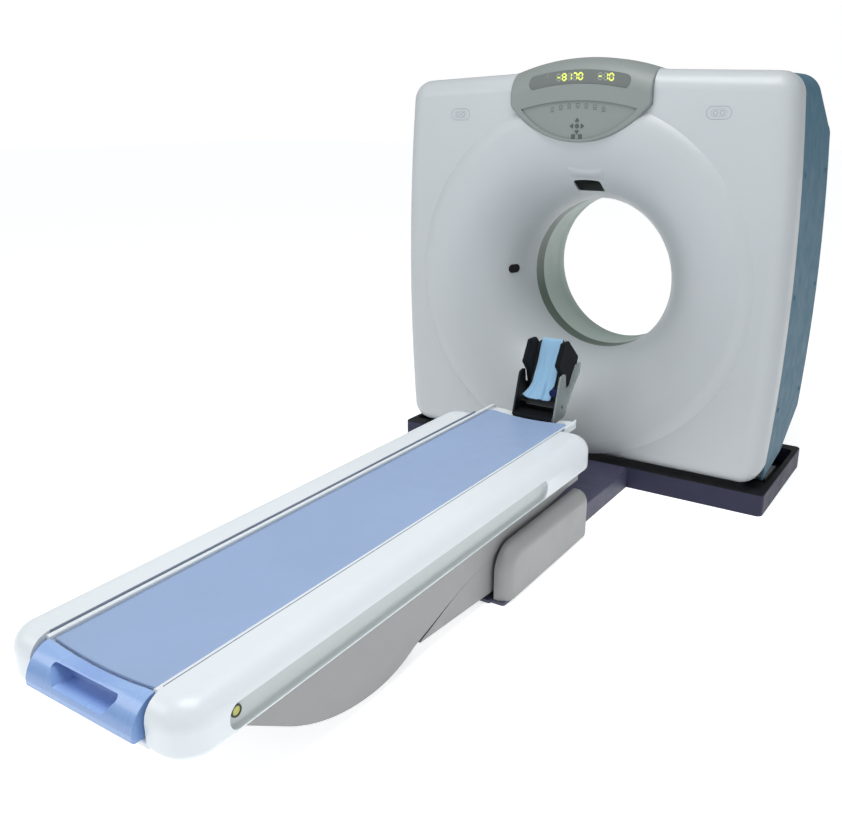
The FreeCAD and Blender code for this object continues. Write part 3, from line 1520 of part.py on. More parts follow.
def make_head_board():
    """Leaning head board with two side wings, hung on a pin between the bracket's walls."""
    lean = Rotation(Vector(1, 0, 0), -board_lean.value)
    body = new_body("head_board", x=head_shift, y=-hinge_gap, z=hinge_height, turn=lean)
    plate = Loop(
        (-board_half, -12), (board_half, -12),
        (board_half, board_length, 20), (-board_half, board_length, 20),
    )
    pad(body, draw(body, "XZ", plate, level=-board_thick / 2), board_thick)
    pad(body, draw(body, "YZ", Circle(0, 0, 8)), bracket_half * 2 - 2, both=True)
    round_edges(body, 1, lambda e: abs(e.middle("x") - head_shift.value) > bracket_half.value - 10 and e.high["z"] - e.low["z"] > 1)


def head_points():
    """Corners of the side pads in the leaning board's own frame, from its hinge."""
    corners = [
        (-315, 607), (-262, 700), (-205, 700), (-102, 612),
        (-128, 532), (-206, 444), (-232, 432), (-272, 556),
    ]
    lean = math.radians(board_lean.value)
    points = []
    for across, up in corners:
        across, up = across + hinge_gap.value, up - hinge_height.value
        points.append(
            (across * math.cos(lean) - up * math.sin(lean), across * math.sin(lean) + up * math.cos(lean), 6)
        )
    return points


def make_side_pad(label, side):
    """Black foam side pad of the head holder."""
    lean = Rotation(Vector(1, 0, 0), -board_lean.value)
    body = new_body(label, x=head_shift, y=-hinge_gap, z=hinge_height, turn=lean)
    outline = Loop(*head_points())
    start = board_half + soft_gap
    pad(body, draw(body, "YZ", outline, level=start * side), side_pad_thick, side)
    faces = (start.value * side, (start + side_pad_thick).value * side)
    round_edges(body, 3, lambda e: e.flat("x", faces[0]) or e.flat("x", faces[1]))


def make_head_cloth():
    """Light cloth hanging down the head board in two main folds and flaring over the base."""
    lean = Rotation(Vector(1, 0, 0), -board_lean.value)
    body = new_body("head_cloth", x=head_shift, y=-hinge_gap, z=hinge_height, turn=lean)
    seat_y = -board_thick / 2 - soft_gap
    stations = [
        (board_length - 30, 30, 30, 3, 0.5),
        (board_length - 120, 44, 44, 6, 3),
        (70, 58, 48, 16, 9),
        (14, 82, 50, 30, 12),
    ]
    sketches = []
    for level, left, right, stand_off, fold in stations:
        back = seat_y - (stand_off - 3)
        front = back - 3
        seen = [(-left, front), (-left / 3, front - fold * 0.2), (right / 3, front - fold), (right, front)]
        hidden = [(right, back), (right / 3, back - fold * 0.8), (-left / 3, back - fold * 0.1), (-left, back)]
        sketches.append(draw(body, "XY", Loop(*seen, *hidden), level=level))
    loft(body, sketches)


# ---------------------------------------------------------------- build, check and write out


def build():
    """Makes every sub-part in order, then checks the document and writes one file for each."""
    make_front_cover()
    make_side_cover("side_cover_right", 1)
    make_side_cover("side_cover_left", -1)
    make_top_cover()
    make_rear_cover()
    make_bore_rings()
    make_laser_windows()
    make_panel()
    make_base()
    make_stand("upright_right", 1)
    make_stand("upright_left", -1)
    make_tilt_drive()
    make_tilt_frame()
    make_bearing()
    make_rotor()
    make_table_base()
    make_spine_duct()
    make_pivot_cover("pivot_cover_right", 1)
    make_pivot_cover("pivot_cover_left", -1)
    make_lift_drive()
    make_shafts()
    make_lift_arm()
    make_arm_cover()
    make_tie_link()
    make_table_frame()
    make_rail("rail_right", 1)
    make_rail("rail_left", -1)
    make_boat_cover()
    make_cradle_motor()
    make_foot_lip()
    make_marker_disc()
    make_cradle()
    make_pad()
    make_handle()
    make_head_bracket()
    make_head_knob()
    make_head_board()
    make_side_pad("side_pad_right", 1)
    make_side_pad("side_pad_left", -1)
    make_head_cloth()
    doc.recompute()
    for thing in doc.Objects:
        if "Invalid" in thing.State or "Error" in thing.State:
            raise ValueError(f"{thing.Label}: {thing.State}")
    os.makedirs("parts", exist_ok=True)
    for piece in pieces:
        shape = piece.Shape
        if shape.isNull() or not shape.isValid() or len(shape.Solids) != 1:
            raise ValueError(f"{piece.Label}: no single valid solid")
        shape.exportStep(f"parts/{piece.Label}.step")


build()
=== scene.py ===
import math

import bmesh
import bpy
import numpy as np
from mathutils import Matrix, Vector
from mathutils.bvhtree import BVHTree


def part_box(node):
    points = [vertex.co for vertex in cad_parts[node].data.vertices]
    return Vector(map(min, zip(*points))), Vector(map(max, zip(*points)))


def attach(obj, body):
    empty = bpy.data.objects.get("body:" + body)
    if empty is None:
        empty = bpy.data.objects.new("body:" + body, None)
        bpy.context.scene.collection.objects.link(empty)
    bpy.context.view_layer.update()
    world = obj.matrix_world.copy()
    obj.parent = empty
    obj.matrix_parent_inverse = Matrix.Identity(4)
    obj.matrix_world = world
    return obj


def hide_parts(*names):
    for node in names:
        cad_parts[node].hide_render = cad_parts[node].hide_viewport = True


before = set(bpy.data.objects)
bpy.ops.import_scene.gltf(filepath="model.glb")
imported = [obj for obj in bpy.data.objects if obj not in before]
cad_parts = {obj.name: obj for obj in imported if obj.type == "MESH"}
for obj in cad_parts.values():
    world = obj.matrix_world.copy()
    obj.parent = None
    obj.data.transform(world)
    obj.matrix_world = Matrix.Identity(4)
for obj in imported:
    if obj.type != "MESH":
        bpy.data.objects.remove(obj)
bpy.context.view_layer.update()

# The camera stands where the photograph was taken: off the table's foot, on its right, at eye height.
# Its lens and small roll come from the long edges of the table and the upright edges of the gantry.
camera_spot = Vector((1.676, -2.765, 1.627))
turn, dip, roll = math.radians(34.256), math.radians(18.184), math.radians(-0.473)
sight = Vector((-math.sin(turn) * math.cos(dip), math.cos(turn) * math.cos(dip), -math.sin(dip)))
level_right = Vector((math.cos(turn), math.sin(turn), 0))
level_up = level_right.cross(sight)
right = level_right * math.cos(roll) + level_up * math.sin(roll)
up = level_up * math.cos(roll) - level_right * math.sin(roll)
camera_data = bpy.data.cameras.new("camera")
camera_data.lens = 38.6
camera_data.sensor_width = 36
camera = bpy.data.objects.new("camera", camera_data)
camera.matrix_world = Matrix.Translation(camera_spot) @ Matrix((right, up, -sight)).transposed().to_4x4()
bpy.context.scene.collection.objects.link(camera)
bpy.context.scene.camera = camera
bpy.context.scene.view_settings.view_transform = "Standard"


# The studio has three large soft lamps: a key from the front left, one overhead that whitens the table's
# top, and a weaker one from the right for the rail and the gantry's side.
def softbox(name, spot, aim, width, height, power):
    """A rectangular lamp that looks at aim."""
    data = bpy.data.lights.new(name, "AREA")
    data.shape = "RECTANGLE"
    data.size = width
    data.size_y = height
    data.energy = power
    lamp = bpy.data.objects.new(name, data)
    direction = Vector(aim) - Vector(spot)
    lamp.matrix_world = Matrix.Translation(spot) @ direction.to_track_quat("-Z", "Y").to_matrix().to_4x4()
    bpy.context.scene.collection.objects.link(lamp)


softbox("key_light", (-3.4, -4.4, 3.4), (0, 0.4, 0.8), 2.6, 2.2, 48)
softbox("overhead_light", (0.3, -0.9, 4.4), (0.1, -0.5, 0.4), 3.0, 2.4, 128)
softbox("fill_light", (4.6, -3.2, 1.6), (0, -0.6, 0.4), 2.4, 2.0, 16)

# The studio's walls are white on every side. The camera sees them at full white, and they light the
# scanner more weakly and a little cooler, so that its own whites keep their shading.
world = bpy.data.worlds.new("studio")
world.use_nodes = True
tree = world.node_tree
sky = tree.nodes["Background"]
sky.inputs["Color"].default_value = (0.95, 0.98, 1.0, 1)
sky.inputs["Strength"].default_value = 0.4
backdrop = tree.nodes.new("ShaderNodeBackground")
backdrop.inputs["Color"].default_value = (1, 1, 1, 1)
backdrop.inputs["Strength"].default_value = 1.0
seen = tree.nodes.new("ShaderNodeLightPath")
choice = tree.nodes.new("ShaderNodeMixShader")
tree.links.new(seen.outputs["Is Camera Ray"], choice.inputs["Fac"])
tree.links.new(sky.outputs["Background"], choice.inputs[1])
tree.links.new(backdrop.outputs["Background"], choice.inputs[2])
tree.links.new(choice.outputs["Shader"], tree.nodes["World Output"].inputs["Surface"])
bpy.context.scene.world = world

# The studio's floor is a matt white sheet that glows enough to run into the walls without an edge.
# It still takes the soft shadows under the table and the gantry.
floor_half = 40
floor_corners = [(x * floor_half, y * floor_half, 0) for x, y in ((-1, -1), (1, -1), (1, 1), (-1, 1))]
floor_mesh = bpy.data.meshes.new("floor")
floor_mesh.from_pydata(floor_corners, [], [(0, 1, 2, 3)])
floor = bpy.data.objects.new("floor", floor_mesh)
bpy.context.scene.collection.objects.link(floor)
floor_paint = bpy.data.materials.new("floor_paint")
floor_paint.use_nodes = True
floor_skin = floor_paint.node_tree.nodes["Principled BSDF"]
floor_skin.inputs["Base Color"].default_value = (0.93, 0.94, 0.95, 1)
floor_skin.inputs["Roughness"].default_value = 0.9
floor_skin.inputs["Emission Color"].default_value = (1, 1, 1, 1)
floor_skin.inputs["Emission Strength"].default_value = 0.62
floor_mesh.materials.append(floor_paint)


# Cable duct and table base: folded steel sheet in a slate-blue powder coat, bolted to the floor.
# Powder coat is faintly pebbled, a little uneven in gloss, and dusty and scuffed low down.
def linear(red, green, blue):
    """A colour as it reads on screen, 0 to 255, turned into the light values that a shader takes."""
    return tuple(((c / 255 + 0.055) / 1.055) ** 2.4 for c in (red, green, blue))


def feed(tree, socket, value):
    """Sets a socket to a value, or links another node's output to it."""
    if isinstance(value, bpy.types.NodeSocket):
        tree.links.new(value, socket)
    else:
        socket.default_value = value


def put(tree, kind, **values):
    """A shader node with its named sockets fed."""
    node = tree.nodes.new(kind)
    for name, value in values.items():
        feed(tree, node.inputs[name.replace("_", " ")], value)
    return node


def ranged(tree, value, low, high, start=0.0, end=1.0):
    """The value between start and end, spread over low to high."""
    ends = {"From_Min": start, "From_Max": end, "To_Min": low, "To_Max": high}
    return put(tree, "ShaderNodeMapRange", Value=value, **ends).outputs["Result"]


def mixed(tree, amount, first, second):
    """Two colours mixed by amount."""
    node = tree.nodes.new("ShaderNodeMix")
    node.data_type = "RGBA"
    for socket, value in ((node.inputs[0], amount), (node.inputs[6], first), (node.inputs[7], second)):
        feed(tree, socket, (*value, 1) if isinstance(value, tuple) else value)
    return node.outputs[2]


def figured(tree, operation, *values):
    """One step of arithmetic on one or two values."""
    node = tree.nodes.new("ShaderNodeMath")
    node.operation = operation
    for socket, value in zip(node.inputs, values):
        feed(tree, socket, value)
    return node.outputs[0]


def place_in(tree):
    """The place of the shaded point, in metres."""
    return tree.nodes.new("ShaderNodeTexCoord").outputs["Object"]


def axes_of(tree, vector):
    """The X, Y and Z of a vector."""
    return put(tree, "ShaderNodeSeparateXYZ", Vector=vector).outputs


def clouds(tree, place, scale, detail, rough=0.5):
    """Soft noise from 0 to 1."""
    node = put(tree, "ShaderNodeTexNoise", Vector=place, Scale=scale, Detail=detail, Roughness=rough)
    return node.outputs["Fac"]


def new_finish(name):
    """An empty finish, with its node tree and its surface shader."""
    made = bpy.data.materials.new(name)
    made.use_nodes = True
    return made, made.node_tree, made.node_tree.nodes["Principled BSDF"]


def painted(name, shade, rough, grain=800, pebble=0.08, drift=0.03,
            dust=0.0, scuff=0.0, coat=0.0, shine=0.5):
    """Sprayed, powder-coated or moulded skin: cloudy tone, uneven gloss, pebbled relief, dust low down."""
    made, tree, skin = new_finish(name)
    skin.inputs["Specular IOR Level"].default_value = shine
    skin.inputs["Coat Weight"].default_value = coat
    skin.inputs["Coat Roughness"].default_value = 0.12
    place = place_in(tree)
    pale = tuple(min(1, c * (1 + drift)) for c in shade)
    deep = tuple(c * (1 - drift) for c in shade)
    colour = mixed(tree, ranged(tree, clouds(tree, place, 2.1, 4.0), 0, 1, 0.3, 0.7), deep, pale)
    if dust:
        fallen = ranged(tree, axes_of(tree, place)["Z"], dust, 0, 0, 0.5)
        patches = ranged(tree, clouds(tree, place, 9.0, 6.0), 0.4, 1.3, 0.3, 0.7)
        colour = mixed(tree, figured(tree, "MULTIPLY", fallen, patches), colour, (0.36, 0.34, 0.31))
    if scuff:
        worn = ranged(tree, clouds(tree, place, 38.0, 8.0, 0.75), 0, scuff, 0.66, 0.74)
        colour = mixed(tree, worn, colour, tuple(min(1, c * 1.5 + 0.05) for c in shade))
    tree.links.new(colour, skin.inputs["Base Color"])
    gloss = ranged(tree, clouds(tree, place, 15.0, 6.0), rough - 0.05, rough + 0.07, 0.3, 0.7)
    tree.links.new(gloss, skin.inputs["Roughness"])
    pits = clouds(tree, place, float(grain), 2.0)
    relief = put(tree, "ShaderNodeBump", Strength=pebble, Distance=0.001, Height=pits)
    tree.links.new(relief.outputs["Normal"], skin.inputs["Normal"])
    return made


def coat_nodes(made, *names):
    """Gives carried-over solids their finish."""
    for name in names:
        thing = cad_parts[name]
        thing.data.materials.clear()
        thing.data.materials.append(made)


slate_coat = painted(
    "slate_coat", linear(56, 58, 84), 0.5, grain=600, pebble=0.2, drift=0.06, dust=0.05, scuff=0.1)
coat_nodes(slate_coat, "spine_duct", "table_base")


# Base tray: a shallow steel tray under the gantry in the same powder coat, a shade darker, bolted down.
# What looks upward on it is painted near-black, a painted shadow for the dark gap under the covers.
def facing_up(tree):
    """How far the surface looks up, from -1 to 1."""
    return axes_of(tree, tree.nodes.new("ShaderNodeNewGeometry").outputs["Normal"])["Z"]


def second_tone(made, share, shade):
    """Lays a second colour over a finish's own, by a share from 0 to 1."""
    tree = made.node_tree
    skin = tree.nodes["Principled BSDF"]
    own = skin.inputs["Base Color"].links[0].from_socket
    tree.links.new(mixed(tree, share, own, shade), skin.inputs["Base Color"])


tray_coat = painted(
    "tray_coat", linear(44, 45, 66), 0.5, grain=600, pebble=0.2, drift=0.06, scuff=0.1, shine=0.2)
tree = tray_coat.node_tree
# Upward faces are painted near-black: a painted shadow that stands in for the dark gap under the covers.
painted_shadow_on_top = ranged(tree, facing_up(tree), 0, 1, 0.6, 0.9)
second_tone(tray_coat, painted_shadow_on_top, linear(14, 15, 20))
coat_nodes(tray_coat, "base_tray")

# Uprights, tilting ring frame, table frame and swing arm: welded steel plate in a grey machine enamel.
# It is brushed on thicker than the covers' paint, so it shows more relief and some rubbed spots.
machine_enamel = painted(
    "machine_enamel", linear(150, 155, 160), 0.45, grain=260, pebble=0.25, scuff=0.4, dust=0.2)
coat_nodes(machine_enamel, "upright_left", "upright_right", "tilt_frame")
coat_nodes(machine_enamel, "table_frame", "lift_arm", "tie_link")

# Geared motors for the tilt, the lift, the rotor and the cradle: bought in, in cast cases that are sprayed
# in a dark grey-blue with a coarse grain, and bolted to the steel.
gear_paint = painted("gear_paint", linear(66, 74, 84), 0.42, grain=420, pebble=0.3, scuff=0.35)
coat_nodes(gear_paint, "tilt_gearmotor", "lift_gearmotor", "rotor_motor", "cradle_motor")


# Shafts and the two rings of the big bearing: turned and ground steel, left bare and oiled.
# Grinding leaves fine streaks along one way that draw the light out.
def turned(name, shade, rough, squeeze, relief):
    """Bare metal with fine streaks along one way, squeezed by three factors."""
    made, tree, skin = new_finish(name)
    skin.inputs["Metallic"].default_value = 1.0
    pulled = put(tree, "ShaderNodeMapping", Vector=place_in(tree), Scale=squeeze).outputs["Vector"]
    streak = clouds(tree, pulled, 30.0, 6.0)
    dull = tuple(c * 0.8 for c in shade)
    colour = mixed(tree, ranged(tree, streak, 0, 1, 0.35, 0.65), dull, shade)
    tree.links.new(colour, skin.inputs["Base Color"])
    tree.links.new(ranged(tree, streak, rough, rough + 0.15, 0.3, 0.7), skin.inputs["Roughness"])
    bump = put(tree, "ShaderNodeBump", Strength=relief, Distance=0.0005, Height=streak)
    tree.links.new(bump.outputs["Normal"], skin.inputs["Normal"])
    return made


ground_steel = turned("ground_steel", (0.62, 0.63, 0.65), 0.2, (12, 1, 1), 0.15)
coat_nodes(ground_steel, "arm_shaft", "level_shaft", "bearing_outer", "bearing_inner")

# Rotor drum and collimator: light alloy castings, machined only where they bolt on.
# The rest keeps the pitted, dull skin of the mould.
cast_alloy = turned("cast_alloy", (0.6, 0.61, 0.62), 0.45, (8, 8, 8), 0.5)
coat_nodes(cast_alloy, "rotor_drum", "collimator")

# Slip ring: copper tracks round the rotor's back, turned smooth so that brushes can run on them.
# The brushes polish rings into them.
slip_copper = turned("slip_copper", (0.72, 0.43, 0.2), 0.25, (1, 20, 1), 0.1)
coat_nodes(slip_copper, "slip_ring")

# X-ray tube housing and generator box: a cast housing and a sheet steel case in an off-white enamel,
# both bolted to the rotor and a little scuffed by tools.
tube_paint = painted("tube_paint", linear(206, 206, 198), 0.4, scuff=0.2)
coat_nodes(tube_paint, "xray_tube", "generator_box")

# Detector arc: a curved case across the rotor from the tube, bent from sheet aluminium
# and finished in a dark grey, grained coat.
detector_case = painted("detector_case", linear(46, 48, 52), 0.5, pebble=0.2)
coat_nodes(detector_case, "detector_arc")

# The front cover is one moulded shell with its ring and trumpet, sprayed in a cool light grey.
# Its spray is smooth, with a low satin gloss and hardly any drift in its tone.
cover_spray = painted("cover_spray", linear(174, 179, 182), 0.36, grain=1100, pebble=0.05, drift=0.02)
coat_nodes(cover_spray, "front_cover")

# Scan window and liner: a dark ring of thin film where the beam passes, and behind it a paler moulded ring.
# Both are set into the bore between the front and the rear cover.
window_film = painted("window_film", linear(72, 90, 78), 0.35, grain=300, pebble=0.04, drift=0.06)
coat_nodes(window_film, "scan_window")
liner_tone = linear(176, 190, 184)
liner_skin = painted("liner_skin", liner_tone, 0.4, drift=0.03)
coat_nodes(liner_skin, "bore_liner")


# Side and top covers: rigid moulded panels in a grey-blue spray, hung on the frame behind the front.
# The spray is matt and even, with a little dust along the bottom.
def cover_blue(name):
    """The grey-blue spray of every cover behind the front one."""
    return painted(name, linear(56, 98, 118), 0.5, grain=900, drift=0.02, dust=0.04, shine=0.2)


blue_spray = cover_blue("blue_spray")
coat_nodes(blue_spray, "side_cover_left", "side_cover_right", "top_cover")

# Rear cover: a moulded panel in the same spray, with a flare that opens out from the bore.
# The flare is masked and sprayed in the liner's pale tone, so that the bore reads as one tunnel.
axis_height = 0.895
flare_rim = 0.48
mask_blur = 0.002
rear_spray = cover_blue("rear_spray")
tree = rear_spray.node_tree
place = axes_of(tree, place_in(tree))
flat_place = put(tree, "ShaderNodeCombineXYZ", X=place["X"], Z=place["Z"]).outputs["Vector"]
from_axis = tree.nodes.new("ShaderNodeVectorMath")
from_axis.operation = "DISTANCE"
feed(tree, from_axis.inputs[0], flat_place)
feed(tree, from_axis.inputs[1], (0, 0, axis_height))
flare = ranged(tree, from_axis.outputs["Value"], 1, 0, flare_rim - mask_blur, flare_rim + mask_blur)
second_tone(rear_spray, flare, liner_tone)
coat_nodes(rear_spray, "rear_cover")


# Brow and sill of the overhead laser window: part of the cover's moulding, a lid that shades the pane
# and a thin raised lip behind it. Both stand up from the trumpet and carry its spray.
def skin_of(node):
    """A CAD solid's surface, ready to be struck by rays."""
    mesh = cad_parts[node].data
    points = [v.co.copy() for v in mesh.vertices]
    return BVHTree.FromPolygons(points, [tuple(p.vertices) for p in mesh.polygons])


def new_piece(name, points, faces, material, body, smooth=True):
    """A finished mesh that rides on a body and takes one of the script's finishes."""
    mesh = bpy.data.meshes.new(name)
    mesh.from_pydata([tuple(p) for p in points], [], faces)
    mesh.validate()
    mesh.materials.append(material)
    mesh.polygons.foreach_set("use_smooth", [smooth] * len(mesh.polygons))
    piece = bpy.data.objects.new(name, mesh)
    bpy.context.scene.collection.objects.link(piece)
    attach(piece, body)
    return piece


def sheet_faces(rows, columns):
    """Quads of a grid of points that is stored row by row."""
    faces = []
    for i in range(rows - 1):
        for j in range(columns - 1):
            a = i * columns + j
            faces.append((a, a + 1, a + columns + 1, a + columns))
    return faces


gantry_front = 0.886
rib_sunk = 0.0004
trumpet = skin_of("front_cover")


def moulded_rib(name, middle, half, front, back, rise, bow):
    """A rib across the trumpet between two depths, struck from the bore's axis and raised off its skin."""
    rows, columns = 15, 49
    points = []
    for i in range(rows):
        across = i / (rows - 1)
        swell = math.sin(math.pi * min(across * 1.25, 1) ** 0.7) ** 0.8
        for j in range(columns):
            along = j / (columns - 1) * 2 - 1
            y = gantry_front + front + (back - front) * across - bow * along * along * (1 - across)
            start = Vector((middle + half * along, y, axis_height))
            spot, normal, _, _ = trumpet.ray_cast(start, Vector((0, 0, 1)))
            if normal.z > 0:
                normal = -normal
            lift = rise * (1 - along * along) ** 0.6 * swell
            points.append(spot + normal * (lift - rib_sunk))
    return new_piece(name, points, sheet_faces(rows, columns), cover_spray, "gantry")


moulded_rib("window_brow", 0.012, 0.082, 0.058, 0.104, rise=0.011, bow=0.01)
moulded_rib("window_sill", 0.0, 0.066, 0.1805, 0.190, rise=0.0022, bow=0.0)

# The two laser windows are panes of dark smoked acrylic, cut and polished, and glued in behind
# their openings in the front cover.
laser_glass = painted(
    "laser_glass", linear(14, 14, 16), 0.12, grain=200, pebble=0.02, drift=0.15, coat=0.15, shine=0.3)
coat_nodes(laser_glass, "laser_window_top", "laser_window_left")


# Print on the front cover, left and right of the panel: two thin grey outlines, one inside the other,
# with a pair of small rings in them, screen-printed in one pass.
def ribbon(path, width):
    """Left and right edge of a flat closed line of this width along a path in the x-z plane."""
    path = [Vector(p) for p in path]
    left, right = [], []
    for i, here in enumerate(path):
        way = (path[(i + 1) % len(path)] - path[i - 1]).normalized()
        side = Vector((-way.y, way.x)) * width / 2
        left.append(here + side)
        right.append(here - side)
    return left, right


def round_box(half, high, corner):
    """Outline of a box with round corners about the origin."""
    steps = 8
    path = []
    for number, (sx, sz) in enumerate(((1, 1), (-1, 1), (-1, -1), (1, -1))):
        for step in range(steps + 1):
            bend = math.radians(90 * (number + step / steps))
            x = sx * (half - corner) + corner * math.cos(bend)
            z = sz * (high - corner) + corner * math.sin(bend)
            path.append((x, z))
    return path


def circle(radius):
    """Outline of a circle about the origin."""
    steps = 28
    bends = [2 * math.pi * n / steps for n in range(steps)]
    return [(radius * math.cos(bend), radius * math.sin(bend)) for bend in bends]


def shifted(path, x, z):
    """A path moved in the x-z plane."""
    return [(a + x, b + z) for a, b in path]


def laid_on(skin, flat, lift):
    """Points of the x-z plane thrown at a skin from the table's side, and lifted off it a little."""
    away = Vector((0, 1, 0))
    start = 0.4
    return [skin.ray_cast(Vector((x, start, z)), away)[0] - away * lift for x, z in flat]


def printed(name, lines, skin, ink):
    """Closed lines of ink laid on a skin of the gantry."""
    points, faces = [], []
    ink_thick = 0.0003
    for path, width in lines:
        left, right = ribbon(path, width)
        base, count = len(points), len(left)
        points += laid_on(skin, left + right, ink_thick)
        for i in range(count):
            j = (i + 1) % count
            faces.append((base + i, base + j, base + count + j, base + count + i))
    return new_piece(name, points, faces, ink, "gantry", smooth=False)


print_x, print_z = 0.581, 1.615
ring_radius, ring_offset = 0.0085, 0.013
print_shapes = (
    (round_box(0.0475, 0.024, 0.023), 0.0028),
    (shifted(circle(ring_radius), -ring_offset, 0), 0.003),
    (shifted(circle(ring_radius), ring_offset, 0), 0.003),
    (round_box(0.03, 0.0135, 0.013), 0.0016),
)
print_ink = painted("print_ink", linear(142, 152, 158), 0.5, drift=0.08)
for side, label in ((-1, "left"), (1, "right")):
    lines = [(shifted(path, side * print_x, print_z), width) for path, width in print_shapes]
    printed(f"print_{label}", lines, trumpet, print_ink)

# Control panel: a mid-grey moulding over the hump, textured against glare, with an arched display window
# of smoked acrylic in it.
panel_skin = painted("panel_skin", linear(121, 128, 126), 0.46, grain=1300, pebble=0.15)
coat_nodes(panel_skin, "panel_housing")
smoked_acrylic = painted(
    "smoked_acrylic", linear(98, 104, 102), 0.22, grain=300, pebble=0.02, drift=0.05, coat=0.3)
coat_nodes(smoked_acrylic, "display_window")

# Seven keys: soft caps of dark grey silicone rubber, moulded in one mat and pushed through the panel,
# five of them in a cross and two small ones below it.
key_rubber = painted("key_rubber", linear(72, 78, 78), 0.6, grain=900, pebble=0.2, drift=0.06)
for key in ("up", "down", "left", "right", "centre", "low_left", "low_right"):
    coat_nodes(key_rubber, f"key_{key}")


# Figures in the display: seven-bar lamps behind the smoked window, lit in yellow-green.
# The bars that are off still show through it as a faint pale grey.
def glowing(name, shade, power):
    """Lamp light behind the smoked window: each bar is a little uneven."""
    made, tree, skin = new_finish(name)
    skin.inputs["Roughness"].default_value = 0.4
    weak = tuple(c * 0.65 for c in shade)
    colour = mixed(tree, ranged(tree, clouds(tree, place_in(tree), 160.0, 2.0), 0, 1, 0.3, 0.7), weak, shade)
    tree.links.new(colour, skin.inputs["Emission Color"])
    tree.links.new(colour, skin.inputs["Base Color"])
    skin.inputs["Emission Strength"].default_value = power
    return made


figure_wide, figure_high, figure_pitch = 0.0165, 0.0255, 0.0245
bar_width = 0.0058
row_height, row_arch = 1.7615, 0.35
bars_of = {"0": "abcdef", "1": "bc", "7": "abc", "8": "abcdefg", "-": "g"}
display_skin = skin_of("display_window")


def bar(ax, az, bx, bz):
    """One bar of a figure: a six-sided outline from a to b."""
    a, b = Vector((ax, az)), Vector((bx, bz))
    way = (b - a).normalized()
    side = Vector((-way.y, way.x)) * bar_width / 2
    a, b = a + way * bar_width * 0.12, b - way * bar_width * 0.12
    tip = way * bar_width / 2
    return [a, a + tip + side, b - tip + side, b, b - tip - side, a + tip - side]


def figure_bars(x, z):
    """The seven bars of one figure by letter, a to f from the top one round and g in the middle."""
    left, right = x, x + figure_wide
    top, bottom = z + figure_high / 2, z - figure_high / 2
    return {
        "a": bar(left, top, right, top),
        "b": bar(right, top, right, z),
        "c": bar(right, z, right, bottom),
        "d": bar(left, bottom, right, bottom),
        "e": bar(left, z, left, bottom),
        "f": bar(left, top, left, z),
        "g": bar(left, z, right, z),
    }


def bars_on(name, loops, material, lift):
    """Bars laid just in front of the display window."""
    points, faces = [], []
    for loop in loops:
        faces.append(tuple(range(len(points), len(points) + len(loop)))[::-1])
        points += laid_on(display_skin, loop, lift)
    return new_piece(name, points, faces, material, "gantry", smooth=False)


lit_loops, dark_loops = [], []
for text, start in (("-8170", -0.098), ("-10", 0.086)):
    for number, sign in enumerate(text):
        x = start + number * figure_pitch
        for letter, loop in figure_bars(x, row_height - row_arch * x * x).items():
            (lit_loops if letter in bars_of[sign] else dark_loops).append(loop)
bars_on("figures_lit", lit_loops, glowing("figure_glow", linear(214, 226, 96), 0.75), 0.0005)
bars_on("figures_dark", dark_loops, painted("figure_unlit", linear(124, 132, 124), 0.4), 0.0004)

# Signs on the keypad: seven small shapes in an arch, each with a dash under it, screen-printed
# in a dark grey ink on the panel.
sign_pitch = 0.0385
sign_height, sign_arch = 1.650, 1.15
dash_drop = 0.0115
keypad_ink = painted("keypad_ink", linear(84, 92, 92), 0.55, drift=0.1)
sign_lines = []
for number in range(7):
    x = (number - 3) * sign_pitch
    z = sign_height - sign_arch * x * x
    shape = round_box(0.0068, 0.0052, 0.002) if number % 2 else circle(0.0062)
    sign_lines.append((shifted(shape, x, z), 0.003))
    sign_lines.append((shifted(round_box(0.0085, 0.0012, 0.001), x, z - dash_drop), 0.0016))
printed("keypad_signs", sign_lines, skin_of("panel_housing"), keypad_ink)

# Fixings of the covers: quarter-turn screws with a slotted domed head, pressed from steel, six down each
# side cover and sprayed over with it, and eight bright zinc-plated ones round the rear cover.
head_radius, head_sunk = 0.011, 0.0004
head_dome = ((0.0, 1.0), (0.0012, 1.0), (0.0022, 0.93), (0.0030, 0.7), (0.0034, 0.35))
cut_deep, cut_half = 0.0012, 0.2
screw_zinc = turned("screw_zinc", (0.55, 0.56, 0.57), 0.3, (1, 1, 1), 0.1)


def screw_heads(name, skin, spots, finish):
    """Domed slotted heads where rays strike a skin: each spot is a start and a way."""
    points, faces = [], []
    sides = 20
    for start, way in spots:
        spot, normal, _, _ = skin.ray_cast(Vector(start), Vector(way))
        if normal.dot(Vector(way)) > 0:
            normal = -normal
        aside = normal.orthogonal().normalized()
        across = normal.cross(aside)
        base = len(points)
        for lift, reach in head_dome:
            for n in range(sides):
                bend = 2 * math.pi * n / sides
                in_cut = lift > 0.002 and abs(math.sin(bend)) * reach < cut_half
                flat = (aside * math.cos(bend) + across * math.sin(bend)) * head_radius * reach
                points.append(spot + flat + normal * (lift - head_sunk - (cut_deep if in_cut else 0)))
        top = base + (len(head_dome) - 1) * sides
        for ring in range(base, top, sides):
            for n in range(sides):
                a, b = ring + n, ring + (n + 1) % sides
                faces.append((a, b, b + sides, a + sides))
        faces.append(tuple(range(top, top + sides)))
    return new_piece(name, points, faces, finish, "gantry")


for side, label in ((-1, "left"), (1, "right")):
    spots = [((side * 1.4, y, z), (-side, 0, 0)) for y in (1.065, 1.445) for z in (0.42, 0.90, 1.38)]
    screw_heads(f"screws_{label}", skin_of(f"side_cover_{label}"), spots, blue_spray)
rear_skin = skin_of("rear_cover")
rear_start, to_front = 2.6, Vector((0, -1, 0))
rear_spots = [((x, rear_start, z), to_front) for x in (-0.74, 0.74) for z in (0.42, 0.78, 1.14, 1.50)]
screw_heads("screws_rear", rear_skin, rear_spots, screw_zinc)
